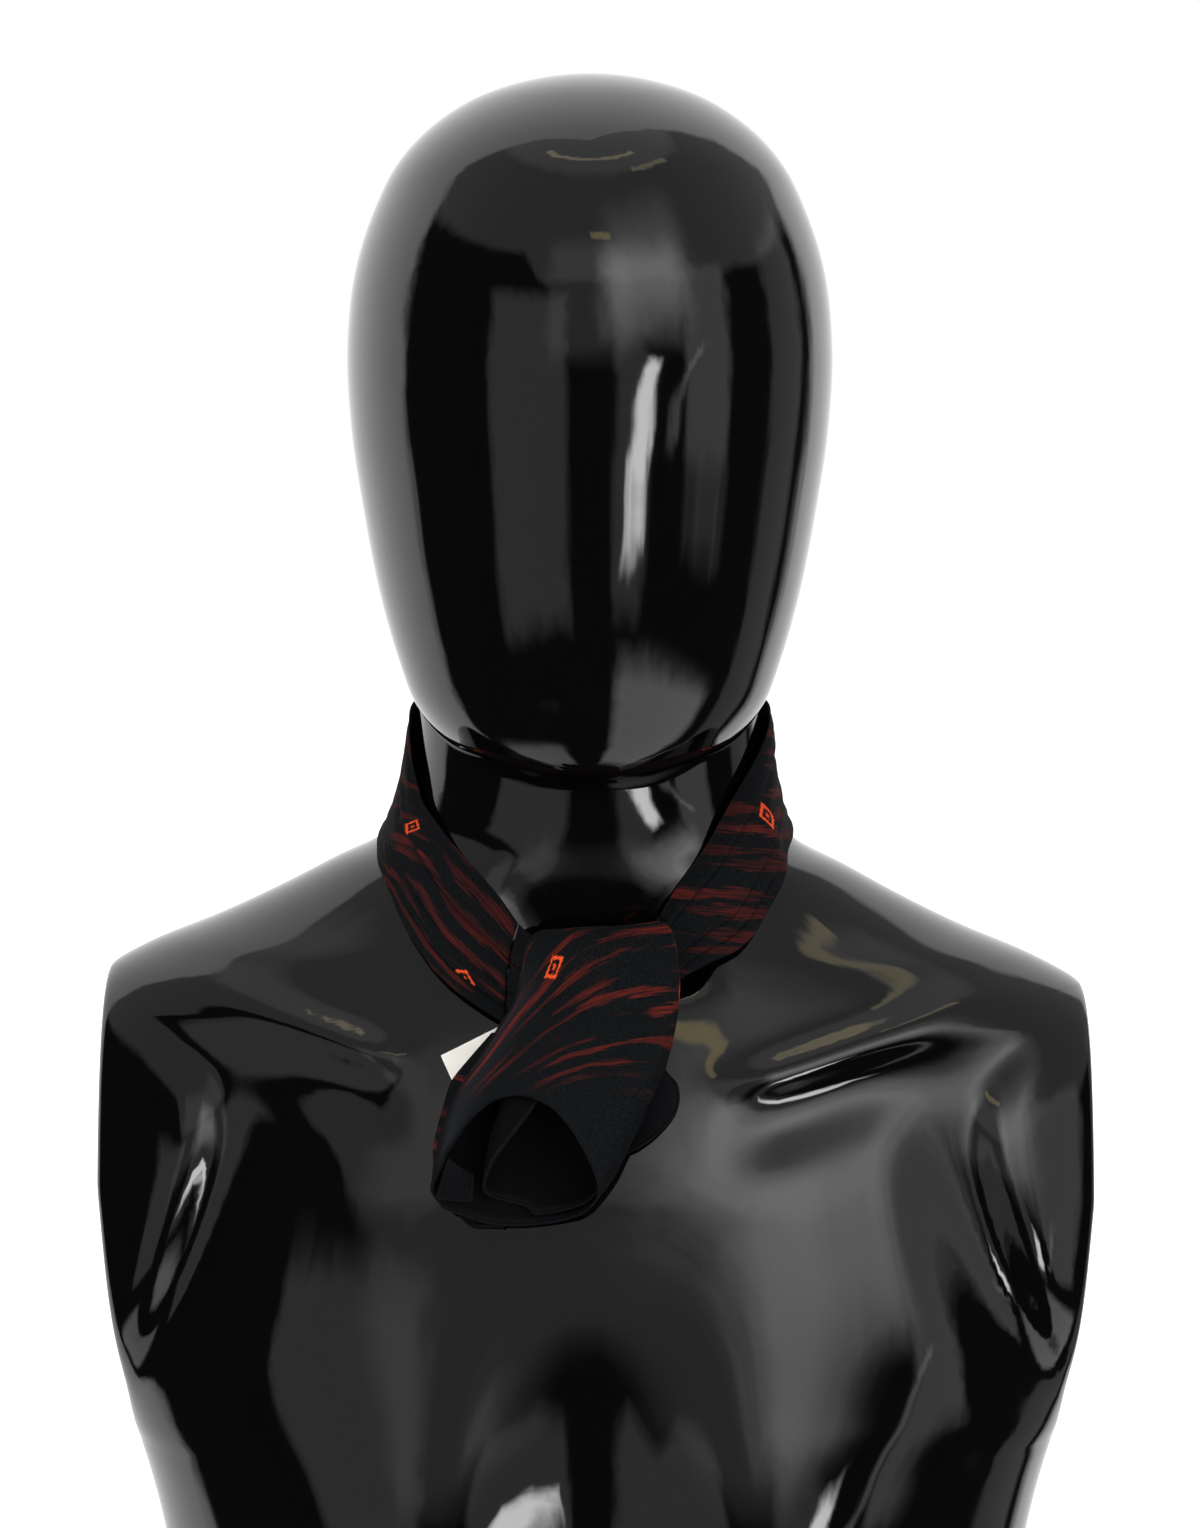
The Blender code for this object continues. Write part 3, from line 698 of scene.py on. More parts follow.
# the loop round the neck: a lengthwise folded band in four lapped pleats
wrapSettings = {
    "loop": {
        "columns": "bearing topHeight topOff bottomHeight bottomOff bulge",
        "rows": [
            (-180, 0.3880, 0.0045, 0.3470, 0.0024, 0.0040),
            (-140, 0.3860, 0.0050, 0.3430, 0.0024, 0.0040),
            (-110, 0.3820, 0.0030, 0.3375, 0.0020, -0.0004),
            (-90, 0.3755, 0.0026, 0.3325, 0.0018, -0.0026),
            (-78, 0.3600, 0.0030, 0.3280, 0.0020, -0.0014),
            (-66, 0.3440, 0.0024, 0.3215, 0.0022, 0.0006),
            (-56, 0.3360, 0.0022, 0.3110, 0.0026, 0.0006),
            (-45, 0.3265, 0.0022, 0.2930, 0.0030, 0.0010),
            (-36, 0.3180, 0.0022, 0.2785, 0.0030, 0.0014),
            (-28, 0.3085, 0.0022, 0.2690, 0.0032, 0.0020),
            (-21, 0.2985, 0.0030, 0.2625, 0.0040, 0.0034),
            (-16, 0.2945, 0.0066, 0.2605, 0.0064, 0.0056),
            (-11, 0.2925, 0.0082, 0.2595, 0.0080, 0.0080),
            (0, 0.2915, 0.0094, 0.2590, 0.0085, 0.0100),
            (11, 0.2925, 0.0082, 0.2635, 0.0078, 0.0078),
            (16, 0.2950, 0.0064, 0.2690, 0.0062, 0.0050),
            (21, 0.3012, 0.0030, 0.2770, 0.0040, 0.0026),
            (30, 0.3155, 0.0022, 0.2840, 0.0030, 0.0014),
            (40, 0.3280, 0.0022, 0.2910, 0.0030, 0.0008),
            (52, 0.3440, 0.0022, 0.3080, 0.0026, 0.0006),
            (64, 0.3570, 0.0024, 0.3220, 0.0022, 0.0006),
            (78, 0.3700, 0.0030, 0.3290, 0.0020, -0.0014),
            (90, 0.3775, 0.0026, 0.3325, 0.0018, -0.0026),
            (110, 0.3825, 0.0030, 0.3375, 0.0020, -0.0004),
            (140, 0.3860, 0.0050, 0.3430, 0.0024, 0.0040),
            (180, 0.3880, 0.0045, 0.3470, 0.0024, 0.0040),
        ],
    },
    "rightLaps": (0.22, 0.68, 0.86, 1.0),  # on the bust's own left, right in the picture
    "leftLaps": (0.36, 0.66, 0.84, 1.0),
    "endBearing": 21.0,
    "endGap": 0.45,
    "pleatLift": 0.0026,
    "tuck": 0.050,
    "clearance": 0.0023,
    "faceCells": 11,
    "lipCells": 5,
    "stations": 340,
    "wall": 0.0006,
    "wrinkle": 0.0007,
    "fullness": 0.0007,
    "topCurl": 0.0006,
    "lapWander": 0.016,
    "lipRadius": 0.36,
    "lipReturn": 0.02,
    "leftFade": 0.42,
    "unmarkedTop": 0.3,
    "unmarkedBottom": 0.25,
    "lapWidth": 0.0168,
    "loopRadius": 0.082,
    "levelShift": 0.38,
    "streakTurn": -18,
    "streakRise": 0.10,
    "backStep": 0.034,
}
loop = curvesOf(wrapSettings["loop"])


def leftShare(bearing):
    turn = bearing % 360
    if 90 <= turn <= 270:
        return 1 - smoothStep((turn - 90) / 180)
    end = wrapSettings["endBearing"]
    return smoothStep((bearing + end) / (2 * end))


# across the band: (lap, place in it) for each column, over the faces and round the fold lips
def bandColumns():
    s = wrapSettings
    columns = []
    for lap in range(len(s["leftLaps"])):
        for k in range(s["faceCells"] + 1):
            columns.append((lap, "face", k / s["faceCells"]))
        for k in range(1, s["lipCells"] + 1):
            columns.append((lap, "lip", k / s["lipCells"]))
    return columns


bandCells = bandColumns()


def bandPoint(bearing, column):
    s = wrapSettings
    bearing = (bearing + 180) % 360 - 180
    lap, part, t = bandCells[column]
    share = leftShare(bearing)
    laps = [0.0] + [mix(a, b, share) for a, b in zip(s["leftLaps"], s["rightLaps"])]
    around = math.radians(bearing)
    for k in range(1, len(laps) - 1):
        laps[k] += s["lapWander"] * ripple(math.cos(around) * 2.2, math.sin(around) * 2.2, k)
    top, bottom = loop["topHeight"](bearing), loop["bottomHeight"](bearing)
    band = math.hypot(top - bottom, 0.012)
    strength = 1 - 0.35 * smoothStep((abs(bearing) - 80) / 70)
    strength *= 0.45 + 0.55 * smoothStep((abs(bearing) - 8) / 28)
    lift = s["pleatLift"] * strength
    start = laps[lap] - (s["tuck"] if lap else 0.0)
    end = laps[lap + 1]
    rise = mix(0.1, 1.0, 0.25 * t + 0.75 * t**1.7) if part == "face" else 1.0
    across = mix(start, end, t if part == "face" else 1.0)
    up = lift * rise
    if part == "face":
        # each strip is a little full, and its wrinkles run along the band
        up += s["fullness"] * math.sin(math.pi * t) * strength
        fine = ripple(bearing / 24, across * 9 + lap * 3, 5) + 0.5 * ripple(bearing / 9, across * 17, 6)
        up += s["wrinkle"] * fine * smoothStep(t / 0.2) * smoothStep((1 - t) / 0.15)
        if lap == 0:
            up += s["topCurl"] * smoothStep(1 - t / 0.1)
    else:
        # round the fold and back under the strip
        radius = s["lipRadius"] * lift
        turn = math.pi * min(t / 0.8, 1.0)
        across = end + radius / band * math.sin(turn) - (t > 0.8) * s["lipReturn"]
        up = lift - radius * (1 - math.cos(turn))
    height = mix(top, bottom, across)
    outTop = skinRadius(bearing, top) + loop["topOff"](bearing)
    outBottom = skinRadius(bearing, bottom) + loop["bottomOff"](bearing)
    bulge = loop["bulge"](bearing) * math.sin(math.pi * min(max(across, 0.0), 1.0))
    radius = mix(outTop, outBottom, across) + bulge
    radius = max(radius, skinRadius(bearing, height) + s["clearance"]) + up
    x = axisX(height) + radius * math.sin(around)
    return Vector((x, bustSettings["neckY"] - radius * math.cos(around), height))


# the print's own directions: along the band on one side, level on the other
def bandFlat(bearing, column, height):
    s = wrapSettings
    lap, part, t = bandCells[column]
    down = (lap + (t if part == "face" else 1.0)) * s["lapWidth"]
    # the loop is laid out in one run from end to end, so its print has no seam behind
    winding = bearing < -knotEnd - 0.5 * s["endGap"]
    turn = math.radians(s["streakTurn"]) * smoothStep((-bearing - 45) / 40)
    around = math.radians(bearing) * s["loopRadius"]
    pleatedX = around * math.cos(turn) + down * math.sin(turn)
    pleatedY = down * math.cos(turn) - around * math.sin(turn)
    if winding:
        length = 2 * math.pi * s["loopRadius"]
        pleatedX += length
        pleatedY += s["backStep"]
        around += length
    levelY = -height - s["streakRise"] * around + s["levelShift"]
    share = leftShare((bearing + 180) % 360 - 180)
    return (mix(pleatedX, around, share) + 0.5, mix(pleatedY, levelY, share) + 0.5)


def makeBandPiece(name, first, last, stations, material, plain=0.0):
    cells = len(bandCells) - 1
    points = [[bandPoint(mix(first, last, k / stations), column) for column in range(cells + 1)]
              for k in range(stations + 1)]

    def place(u, v):
        return points[round(v * stations)][round(u * cells)]

    def flat(u, v):
        return bandFlat(mix(first, last, v), round(u * cells), place(u, v).z)

    # the streaks are fainter on the left
    def bare(u, v):
        return plain or wrapSettings["leftFade"] * (1 - leftShare(mix(first, last, v)))

    # no diamond is drawn at the band's folded edges, which can cut one short
    def unmarked(u, v):
        lap, part, t = bandCells[round(u * cells)]
        bottom = bandCells[-1][0] + wrapSettings["unmarkedBottom"]
        inside = wrapSettings["unmarkedTop"] < lap + t < bottom
        return 0.0 if part == "face" and inside and v < 0.92 else 1.0

    grid = clothGrid(cells, stations, place, flat, bare=bare, unmarked=unmarked)
    return thicken(finishPiece(name, grid, material, sharp=85), wrapSettings["wall"])


endAt = wrapSettings["endBearing"] + wrapSettings["endGap"] / 2
knotEnd = wrapSettings["endBearing"] - wrapSettings["endGap"] / 2
neckWrap = makeBandPiece("neckWrap", -endAt, -360 + endAt, wrapSettings["stations"], silkBand)
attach(neckWrap, "root")
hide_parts("neck_wrap")
knotWrap = makeBandPiece("knotWrap", -knotEnd, knotEnd, 46, silkKnot, plain=0.85)
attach(knotWrap, "root")
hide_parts("knot_wrap")
print("loop and knot wound")


# the front tail: up behind the knot, over it and down as a roll with an open mouth
tailSettings = {
    "line": {
        "columns": "step y height centreX halfWidth leftRadius rightRadius crown tilt",
        "rows": [
            (0, -0.0722, 0.2850, 0.0000, 0.0100, 0.0013, 0.0013, 0.0000, 0.00),
            (1, -0.0706, 0.2905, 0.0000, 0.0115, 0.0013, 0.0013, 0.0000, 0.00),
            (2, -0.0718, 0.2947, 0.0004, 0.0150, 0.0013, 0.0013, 0.0000, 0.03),
            (3, -0.0775, 0.2968, 0.0010, 0.0215, 0.0013, 0.0013, 0.0000, 0.06),
            (4, -0.0845, 0.2957, 0.0014, 0.0265, 0.0013, 0.0013, 0.0000, 0.08),
            (5, -0.0912, 0.2908, 0.0014, 0.0288, 0.0014, 0.0014, 0.0000, 0.08),
            (6, -0.0957, 0.2830, 0.0014, 0.0300, 0.0015, 0.0016, 0.0002, 0.06),
            (7, -0.0980, 0.2735, 0.0004, 0.0312, 0.0018, 0.0022, 0.0006, 0.03),
            (8, -0.1005, 0.2620, -0.0037, 0.0337, 0.0024, 0.0050, 0.0014, 0.01),
            (9, -0.1050, 0.2490, -0.0095, 0.0360, 0.0034, 0.0090, 0.0024, 0.00),
            (10, -0.1110, 0.2360, -0.0167, 0.0372, 0.0040, 0.0130, 0.0030, 0.00),
            (11, -0.1175, 0.2220, -0.0227, 0.0363, 0.0042, 0.0155, 0.0034, 0.00),
            (12, -0.1225, 0.2070, -0.0279, 0.0334, 0.0040, 0.0165, 0.0034, 0.00),
            (13, -0.1262, 0.1880, -0.0353, 0.0253, 0.0038, 0.0165, 0.0034, 0.00),
        ],
    },
    "mouth": {
        "columns": "place height",
        "rows": [
            (0.000, 0.1985), (0.042, 0.2060), (0.083, 0.2140), (0.125, 0.2225), (0.200, 0.2345),
            (0.245, 0.2385), (0.285, 0.2398), (0.320, 0.2378), (0.347, 0.2310), (0.375, 0.2190),
            (0.420, 0.2110), (0.500, 0.2050), (0.600, 0.1990), (0.670, 0.1940), (0.760, 0.1895),
            (0.880, 0.1890), (0.950, 0.1930), (1.000, 0.1985),
        ],
    },
    "innerMouth": {
        "columns": "place height",
        "rows": [
            (0.000, 0.2020), (0.042, 0.2095), (0.083, 0.2175), (0.125, 0.2255), (0.200, 0.2380),
            (0.245, 0.2420), (0.285, 0.2435), (0.330, 0.2405), (0.375, 0.2300), (0.4375, 0.2165),
            (0.500, 0.2055), (0.600, 0.1995), (0.670, 0.1970), (0.760, 0.1935), (0.880, 0.1930),
            (0.950, 0.1970), (1.000, 0.2020),
        ],
    },
    "innerFrom": 8.4,
    "innerNarrow": 0.0170,
    "innerInset": 0.0024,
    "sideCells": 30,
    "roundCells": 14,
    "rings": 150,
    "foldStep": 8.0,
    "foldShare": 0.55,
    "streakSlope": 0.05,
    "streakBend": 135,
    "bareFrom": 9.0,
    "wall": 0.0006,
    "hemRadius": 0.00075,
}
tailLine = curvesOf(tailSettings["line"])
mouthRim = curveOf(tailSettings["mouth"], "height")
innerRim = curveOf(tailSettings["innerMouth"], "height")
lastStep = tailSettings["line"]["rows"][-1][0]


# half the sleeve's thickness at a place across it, from its right to its left end
def sleeveThickness(row, across):
    right, left = row["rightRadius"], row["leftRadius"]
    toRight = row["halfWidth"] - across
    toLeft = row["halfWidth"] + across
    if toRight < right:
        return math.sqrt(max(right**2 - (right - toRight) ** 2, 0.0))
    if toLeft < left:
        return math.sqrt(max(left**2 - (left - toLeft) ** 2, 0.0))
    share = (toRight - right) / (2 * row["halfWidth"] - right - left)
    return mix(right, left, share) + row["crown"] * math.sin(math.pi * share)


# narrow takes breadth off the left side and rounds it, as the inner roll needs
def sleevePoint(place, step, inset=0.0, narrow=0.0):
    row = {name: curve(step) for name, curve in tailLine.items()}
    ahead, behind = min(step + 0.05, lastStep), max(step - 0.05, 0)
    runY = tailLine["y"](ahead) - tailLine["y"](behind)
    runZ = tailLine["height"](ahead) - tailLine["height"](behind)
    length = math.hypot(runY, runZ)
    outY, outZ = runZ / length, -runY / length
    side, quarter = divmod((place + 0.125) % 1.0, 0.5)
    leftRadius = mix(row["leftRadius"], row["rightRadius"], smoothStep(narrow / 0.012))
    radius = leftRadius if side else row["rightRadius"]
    other = row["rightRadius"] if side else leftRadius
    halfWidth = row["halfWidth"] - inset - narrow / 2
    radius, other = max(radius - inset, 0.0008), max(other - inset, 0.0008)
    if quarter <= 0.25:
        turn = math.pi * (quarter / 0.25 - 0.5)
        across = halfWidth - radius + radius * math.cos(turn)
        out = radius * math.sin(turn)
    else:
        share = (quarter - 0.25) / 0.25
        across = mix(halfWidth - radius, other - halfWidth, share)
        out = mix(radius, other, share) + row["crown"] * math.sin(math.pi * share)
    if side:
        across, out = -across, -out
    across += narrow / 2
    if inset:
        room = max(sleeveThickness(row, across) - inset, 0.0006)
        out = math.copysign(min(abs(out), room), out)
    out += tailFold(place % 1.0, step, across / row["halfWidth"]) * (1 if out > 0 else 0.4)
    height = row["height"] + outZ * out + row["tilt"] * across
    height += 0.0016 * ripple(across * 45, 2.0, 31) * bell(step - 3.6, 1.6)
    return Vector((row["centreX"] + across, row["y"] + outY * out, height))


# soft long folds of the flap, uneven in length and depth; across is -1 at its left side
def tailFold(place, step, across):
    front = smoothStep((place - 0.06) / 0.08) * smoothStep((0.44 - place) / 0.08)
    late = smoothStep((step - 3.0) / 3.0)
    left = bell(across + 0.62 + 0.03 * (step - 6), 0.16)
    middle = bell(across + 0.10 - 0.05 * (step - 7), 0.22)
    right = bell(across - 0.55 + 0.04 * (step - 6), 0.18)
    fold = -0.0011 * left * late + 0.0010 * middle * late * smoothStep((11 - step) / 4)
    fold += -0.0007 * right * late * smoothStep((step - 5) / 3)
    fold += 0.0005 * ripple(across * 3.0, step * 0.35, 11) * late
    return fold * front + 0.00025 * ripple(place * 14, step * 1.3, 12) * late


def mouthStep(place, rimHeight=mouthRim):
    rim = rimHeight(place % 1.0)
    low, high = tailSettings["foldStep"], float(lastStep)
    for _ in range(20):
        middle = (low + high) / 2
        if sleevePoint(place, middle).z > rim:
            low = middle
        else:
            high = middle
    return low


def sleevePlace(column):
    s = tailSettings
    half, at = divmod(column, s["sideCells"] + s["roundCells"])
    if at <= s["roundCells"]:
        return half * 0.5 - 0.125 + 0.25 * at / s["roundCells"]
    return half * 0.5 + 0.125 + 0.25 * (at - s["roundCells"]) / s["sideCells"]


def makeTail(settings, material, paintedShadeInside):
    cells = 2 * (settings["sideCells"] + settings["roundCells"])
    places = [sleevePlace(k) for k in range(cells + 1)]
    ends = [mouthStep(p) for p in places]
    run = [0.0]
    for k in range(130):
        run.append(run[-1] + (sleevePoint(0.25, (k + 1) / 10) - sleevePoint(0.25, k / 10)).length)

    def stepAt(u, v):
        share = settings["foldShare"]
        step = min(v / share, 1.0) * settings["foldStep"]
        rest = max(v - share, 0.0) / (1 - share)
        return step + rest * (ends[round(u * cells)] - settings["foldStep"])

    def place(u, v):
        return sleevePoint(places[round(u * cells)], stepAt(u, v))

    # the streaks run level from the flap's right edge and bend down towards its left
    def flat(u, v):
        step = stepAt(u, v)
        p = places[round(u * cells)] % 1.0
        wide = tailLine["halfWidth"](step)
        leftward = 2 * wide * min(max((p - 0.125) / 0.25, 0.0), 1.0)
        leftward += 0.012 * (min(p, 0.125) - 0.125) / 0.125 + 0.08 * max(p - 0.375, 0.0)
        at = min(int(step * 10), 129)
        fall = mix(run[at], run[at + 1], step * 10 - at)
        drop = settings["streakSlope"] * leftward + settings["streakBend"] * max(leftward, 0.0) ** 3
        return (leftward + 0.2, fall - drop + 0.2)

    # soft paints a pale sheen along the flap's left roll and on the mouth's lip
    def soft(u, v):
        step = stepAt(u, v)
        p = places[round(u * cells)] % 1.0
        roll = bell(p - 0.385, 0.030) * smoothStep((step - 5.0) / 2.5)
        return 0.62 * roll + 0.25 * smoothStep((v - 0.985) / 0.015)

    # the streaks stop above the mouth
    def bare(u, v):
        step = stepAt(u, v)
        p = places[round(u * cells)] % 1.0
        away = 2.0 * smoothStep((p - 0.44) / 0.05) * smoothStep((0.96 - p) / 0.05)
        ends = smoothStep((step - settings["bareFrom"]) / 1.2) + 0.9 * smoothStep((2.6 - step) / 0.8)
        return max(ends, away)

    grid = clothGrid(cells, settings["rings"], place, flat, soft=soft, bare=bare)
    tail = thicken(finishPiece("frontTail", grid, material, sharp=85), settings["wall"])
    # the tail's inner faces take the dimmed silk: painted shade inside the sleeve
    tail.data.materials.append(paintedShadeInside)
    tail.modifiers["clothThickness"].material_offset = 1
    return tail


frontTail = makeTail(tailSettings, silkFlap, silkInnerPaintedShade)


def rimPoint(place):
    return sleevePoint(place, mouthStep(place))


mouthHem = hemTube(
    "mouthHem", lambda v: rimPoint(0.01 + 0.98 * v), 160, tailSettings["hemRadius"], silkPlain)


# the sheet's inner end, a narrower roll inside the tail that is seen in its mouth
def innerPoint(place, v):
    s = tailSettings
    step = mix(s["innerFrom"], mouthStep(place, innerRim), v)
    narrow = s["innerNarrow"] * smoothStep((step - s["innerFrom"]) / 2.0)
    return sleevePoint(place, step, s["innerInset"], narrow)


def makeInnerRoll(settings, material):
    def flat(u, v):
        return (0.3 + 0.13 * u, 0.6 + 0.05 * v)

    # soft paints a pale sheen at the roll's lip
    def soft(u, v):
        return 0.30 * smoothStep((v - 0.96) / 0.04)

    grid = clothGrid(110, 50, innerPoint, flat, soft=soft, bare=lambda u, v: 2.0)
    return thicken(finishPiece("innerRoll", grid, material, sharp=85), settings["wall"])


# the inner roll is drawn in the dimmed silk, painted shade inside the mouth
innerRoll = makeInnerRoll(tailSettings, silkInnerPaintedShade)
innerHem = hemTube("innerHem", lambda v: innerPoint(0.01 + 0.98 * v, 1.0), 150, 0.0007, silkPlain)


# two thin hemmed corners of the cloth under the roll: x and height round the edge, and the depth
cornerSettings = {
    "rollCorner": {
        "edge": ((-0.0552, 0.2160), (-0.0462, 0.2100), (-0.0468, 0.2000), (-0.0595, 0.2010)),
        "y": -0.1232,
    },
    "tailCorner": {
        "edge": ((-0.0476, 0.2005), (-0.0340, 0.1985), (-0.0352, 0.1876), (-0.0460, 0.1888)),
        "y": -0.1090,
    },
}


def makeCorner(name, settings, material):
    a, b, c, d = (Vector((x, settings["y"], height)) for x, height in settings["edge"])

    def place(u, v):
        point = a.lerp(b, u).lerp(d.lerp(c, u), v)
        point.y -= 0.0012 * math.sin(math.pi * u) + 0.0008 * math.sin(2.4 * v + 4 * u)
        return point

    def rim(v):
        at = v * 3
        if at < 1:
            return place(0, at)
        return place(at - 1, 1) if at < 2 else place(1, 3 - at)

    def flat(u, v):
        return (0.8 + 0.012 * u, 0.8 + 0.012 * v)

    grid = clothGrid(24, 20, place, flat, bare=lambda u, v: 2.0)
    corner = thicken(finishPiece(name, grid, material, sharp=85), 0.0005)
    return corner, hemTube(name + "Hem", rim, 90, 0.00055, silkPlain)


rollCorner, rollCornerHem = makeCorner("rollCorner", cornerSettings["rollCorner"], silkSheer)
tailCorner, tailCornerHem = makeCorner("tailCorner", cornerSettings["tailCorner"], silkSheer)
for piece in (
    frontTail, mouthHem, innerRoll, innerHem, rollCorner, rollCornerHem, tailCorner, tailCornerHem
):
    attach(piece, "root")
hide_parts("front_tail")
print("front tail rolled")


# the back tail: the short end that lies on the chest behind the roll
backSettings = {
    "sides": {
        "columns": "share left right",
        "rows": [
            (0.00, -0.0400, 0.0200), (0.16, -0.0480, 0.0222), (0.31, -0.0549, 0.0242),
            (0.42, -0.0572, 0.0262), (0.53, -0.0590, 0.0308), (0.70, -0.0614, 0.0304),
            (0.86, -0.0620, 0.0232), (1.00, -0.0590, 0.0120),
        ],
    },
    "ends": {
        "columns": "share top hem",
        "rows": [
            (0.00, 0.2580, 0.2020), (0.14, 0.2590, 0.1890), (0.22, 0.2605, 0.1872),
            (0.32, 0.2640, 0.1880), (0.44, 0.2680, 0.1940), (0.60, 0.2680, 0.1990),
            (1.00, 0.2660, 0.2140),
        ],
    },
    "off": 0.0019,
    "pleats": 3.5,
    "pleatDepth": 0.0009,
    "columns": 120,
    "rows": 90,
    "wall": 0.0006,
    "labelRoom": 0.0017,
    "labelRoomFromX": -0.022,
    "labelRoomFromHeight": 0.230,
    "labelRoomOver": 0.012,
}
backSides = curvesOf(backSettings["sides"])
backEnds = curvesOf(backSettings["ends"])


def labelRoom(x, height):
    s = backSettings
    beside = smoothStep((s["labelRoomFromX"] - x) / s["labelRoomOver"])
    above = smoothStep((height - s["labelRoomFromHeight"]) / s["labelRoomOver"])
    return s["labelRoom"] * beside * above


def backPoint(u, v):
    s = backSettings
    x = mix(backSides["left"](v), backSides["right"](v), u)
    height = mix(backEnds["top"](u), backEnds["hem"](u), v)
    wave = s["pleatDepth"] * (1 - math.cos(2 * math.pi * s["pleats"] * u + 1.1 * math.sin(3 * v)))
    crinkle = 0.0006 * (ripple(u * 9, v * 2.4, 21) + 0.4 * ripple(u * 20, v * 7, 22) + 0.5)
    lift = 0.0016 * smoothStep((v - 0.75) / 0.25)
    off = s["off"] + labelRoom(x, height) + wave + max(crinkle, 0) + lift
    return Vector((x, skinFront(x, height) - off, height))


def makeBackTail(settings, material):
    def flat(u, v):
        return (0.7 + 0.085 * u, 0.3 + 0.075 * v)

    # soft paints a pale sheen along the right edge and the hem
    def soft(u, v):
        return 0.30 * smoothStep((u - 0.975) / 0.025) + 0.2 * smoothStep((v - 0.98) / 0.02)

    # only the strip beside the label shows print
    def bare(u, v):
        return 2 * smoothStep((backPoint(u, v).x + 0.050) / 0.006)

    grid = clothGrid(settings["columns"], settings["rows"], backPoint, flat, soft=soft, bare=bare)
    return thicken(finishPiece("backTail", grid, material, sharp=85), settings["wall"])


backTail = makeBackTail(backSettings, silkKnot)
backHem = hemTube("backHem", lambda v: backPoint(0.01 + 0.98 * v, 1.0), 110, 0.0007, silkPlain)
sideHem = hemTube("sideHem", lambda v: backPoint(1.0, 0.15 + 0.83 * v), 80, 0.0007, silkPlain)
for piece in (backTail, backHem, sideHem):
    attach(piece, "root")
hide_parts("back_tail")
print("back tail laid")


# the blank woven label behind the back tail's left edge
labelSettings = {
    "x": -0.0456,
    "height": 0.2503,
    "length": 0.026,
    "breadth": 0.0100,
    "turn": 26,
    "off": 0.0010,
    "wall": 0.0006,
    "white": (0.60, 0.58, 0.53, 1),
}


def makeLabel(settings):
    material, tree, shader = newMaterial("whiteTape")
    tape = addNode(tree, "UVMap", uv_map="cloth").outputs[0]
    ribs = weave(tree, tape, (900.0, 700.0), 0.6)
    tone = addNode(tree, "ValToRGB", grain(tree, tape, 160.0, 2.0, 0.5))
    tone.color_ramp.elements[0].color = dimmed(settings["white"], 0.88)
    tone.color_ramp.elements[1].color = settings["white"]
    setShader(tree, shader, {
        "Base Color": tone.outputs[0],
        "Normal": addNode(tree, "Bump", 0.35, 0.0004, None, ribs).outputs[0],
        "Roughness": 0.72,
        "Specular IOR Level": 0.3,
    })
    turn = math.radians(settings["turn"])

    def place(u, v):
        along, across = (u - 0.5) * settings["length"], (v - 0.5) * settings["breadth"]
        x = settings["x"] + along * math.cos(turn) - across * math.sin(turn)
        height = settings["height"] + along * math.sin(turn) + across * math.cos(turn)
        return Vector((x, skinFront(x, height) - settings["off"], height))

    grid = clothGrid(40, 16, place, lambda u, v: (u * settings["length"], v * settings["breadth"]))
    return thicken(finishPiece("careLabel", grid, material), settings["wall"])


careLabel = makeLabel(labelSettings)
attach(careLabel, "root")
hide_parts("care_label")
print("label placed")


# plain pale floor, white surroundings and soft lights
studioSettings = {
    "floorRadius": 9.0,
    "floorTone": (0.93, 0.93, 0.93, 1),
    "floorGlow": 0.35,
    # name: place, size, power, aimed height
    "lamps": {
        "keyPanel": ((-1.25, -1.9, 1.35), (0.9, 1.3), 30, 0.36),
        "fillPanel": ((1.5, -1.7, 0.9), (0.7, 1.3), 20, 0.36),
        "topPanel": ((0.0, -0.35, 2.3), (1.6, 1.2), 34, 0.36),
        "backLeftPanel": ((-1.7, 1.5, 1.2), (0.8, 1.4), 18, 0.36),
        "backRightPanel": ((1.7, 1.5, 1.2), (0.8, 1.4), 18, 0.36),
    },
    # bright zones of the room as the lacquer mirrors them: direction from the front, half width,
    # lowest and highest height angle and softness in degrees, then brightness, warmth, and
    # how far the zone leans aside as it rises
    "room": {
        "columns": "middle half low high soft bright warm slant",
        "rows": [
            (-34, 21, -22, 14, 3.0, 0.38, 0.0, 0.0),
            (0, 23, -1, 34, 5.0, 0.28, 0.0, 0.0),
            (23, 9, -20, 10, 3.0, 0.34, 0.0, 0.0),
            (30, 4.2, -15, -2, 2.0, 8.50, 0.0, 0.8),
            (54, 1.6, -10, 2, 1.5, 0.70, 0.0, 1.5),
            (31, 23, 7, 30, 8.0, 1.40, 0.0, 0.0),
            (34, 24, 14, 44, 10.0, 0.50, 0.0, 0.0),
            (66, 12, -12, 20, 3.0, 0.60, 0.0, 0.0),
            (115, 11, -50, 22, 3.0, 0.25, 0.0, 0.0),
            (54, 34, -70, -28, 6.0, 1.20, 0.0, 0.0),
            (-62, 34, -72, -46, 6.0, 0.90, 0.0, 0.0),
            (6, 6, 36, 38.6, 0.5, 1.20, 1.0, 0.0),
            (0, 70, 70, 72.5, 0.8, 1.20, 0.8, 0.0),
            (62, 20, 57, 60, 1.0, 0.90, 0.8, 0.0),
        ],
    },
    "dark": 0.02,
    "ceiling": 0.32,
    "ceilingFrom": (18, 28),
    "ceilingTurn": (-0.75, -0.45),
    "zenith": 0.55,
    "zenithFrom": (0.85, 1.10),
    "behindFrom": (2.00, 2.16),
    "raggedness": (0.20, 0.10),
    "warmTint": (1.0, 0.86, 0.50, 1),
}


def makeFloor(settings):
    sheet = bmesh.new()
    bmesh.ops.create_circle(sheet, cap_ends=True, segments=96, radius=settings["floorRadius"])
    material, tree, shader = newMaterial("paleFloor")
    setShader(tree, shader, {
        "Base Color": settings["floorTone"],
        "Roughness": 0.7,
        "Emission Color": (1, 1, 1, 1),
        "Emission Strength": settings["floorGlow"],
    })
    floor = finishPiece("studioFloor", sheet, material)
    floor.data.transform(Matrix.Translation((0, 0, -0.0005)))
    floor.visible_glossy = False


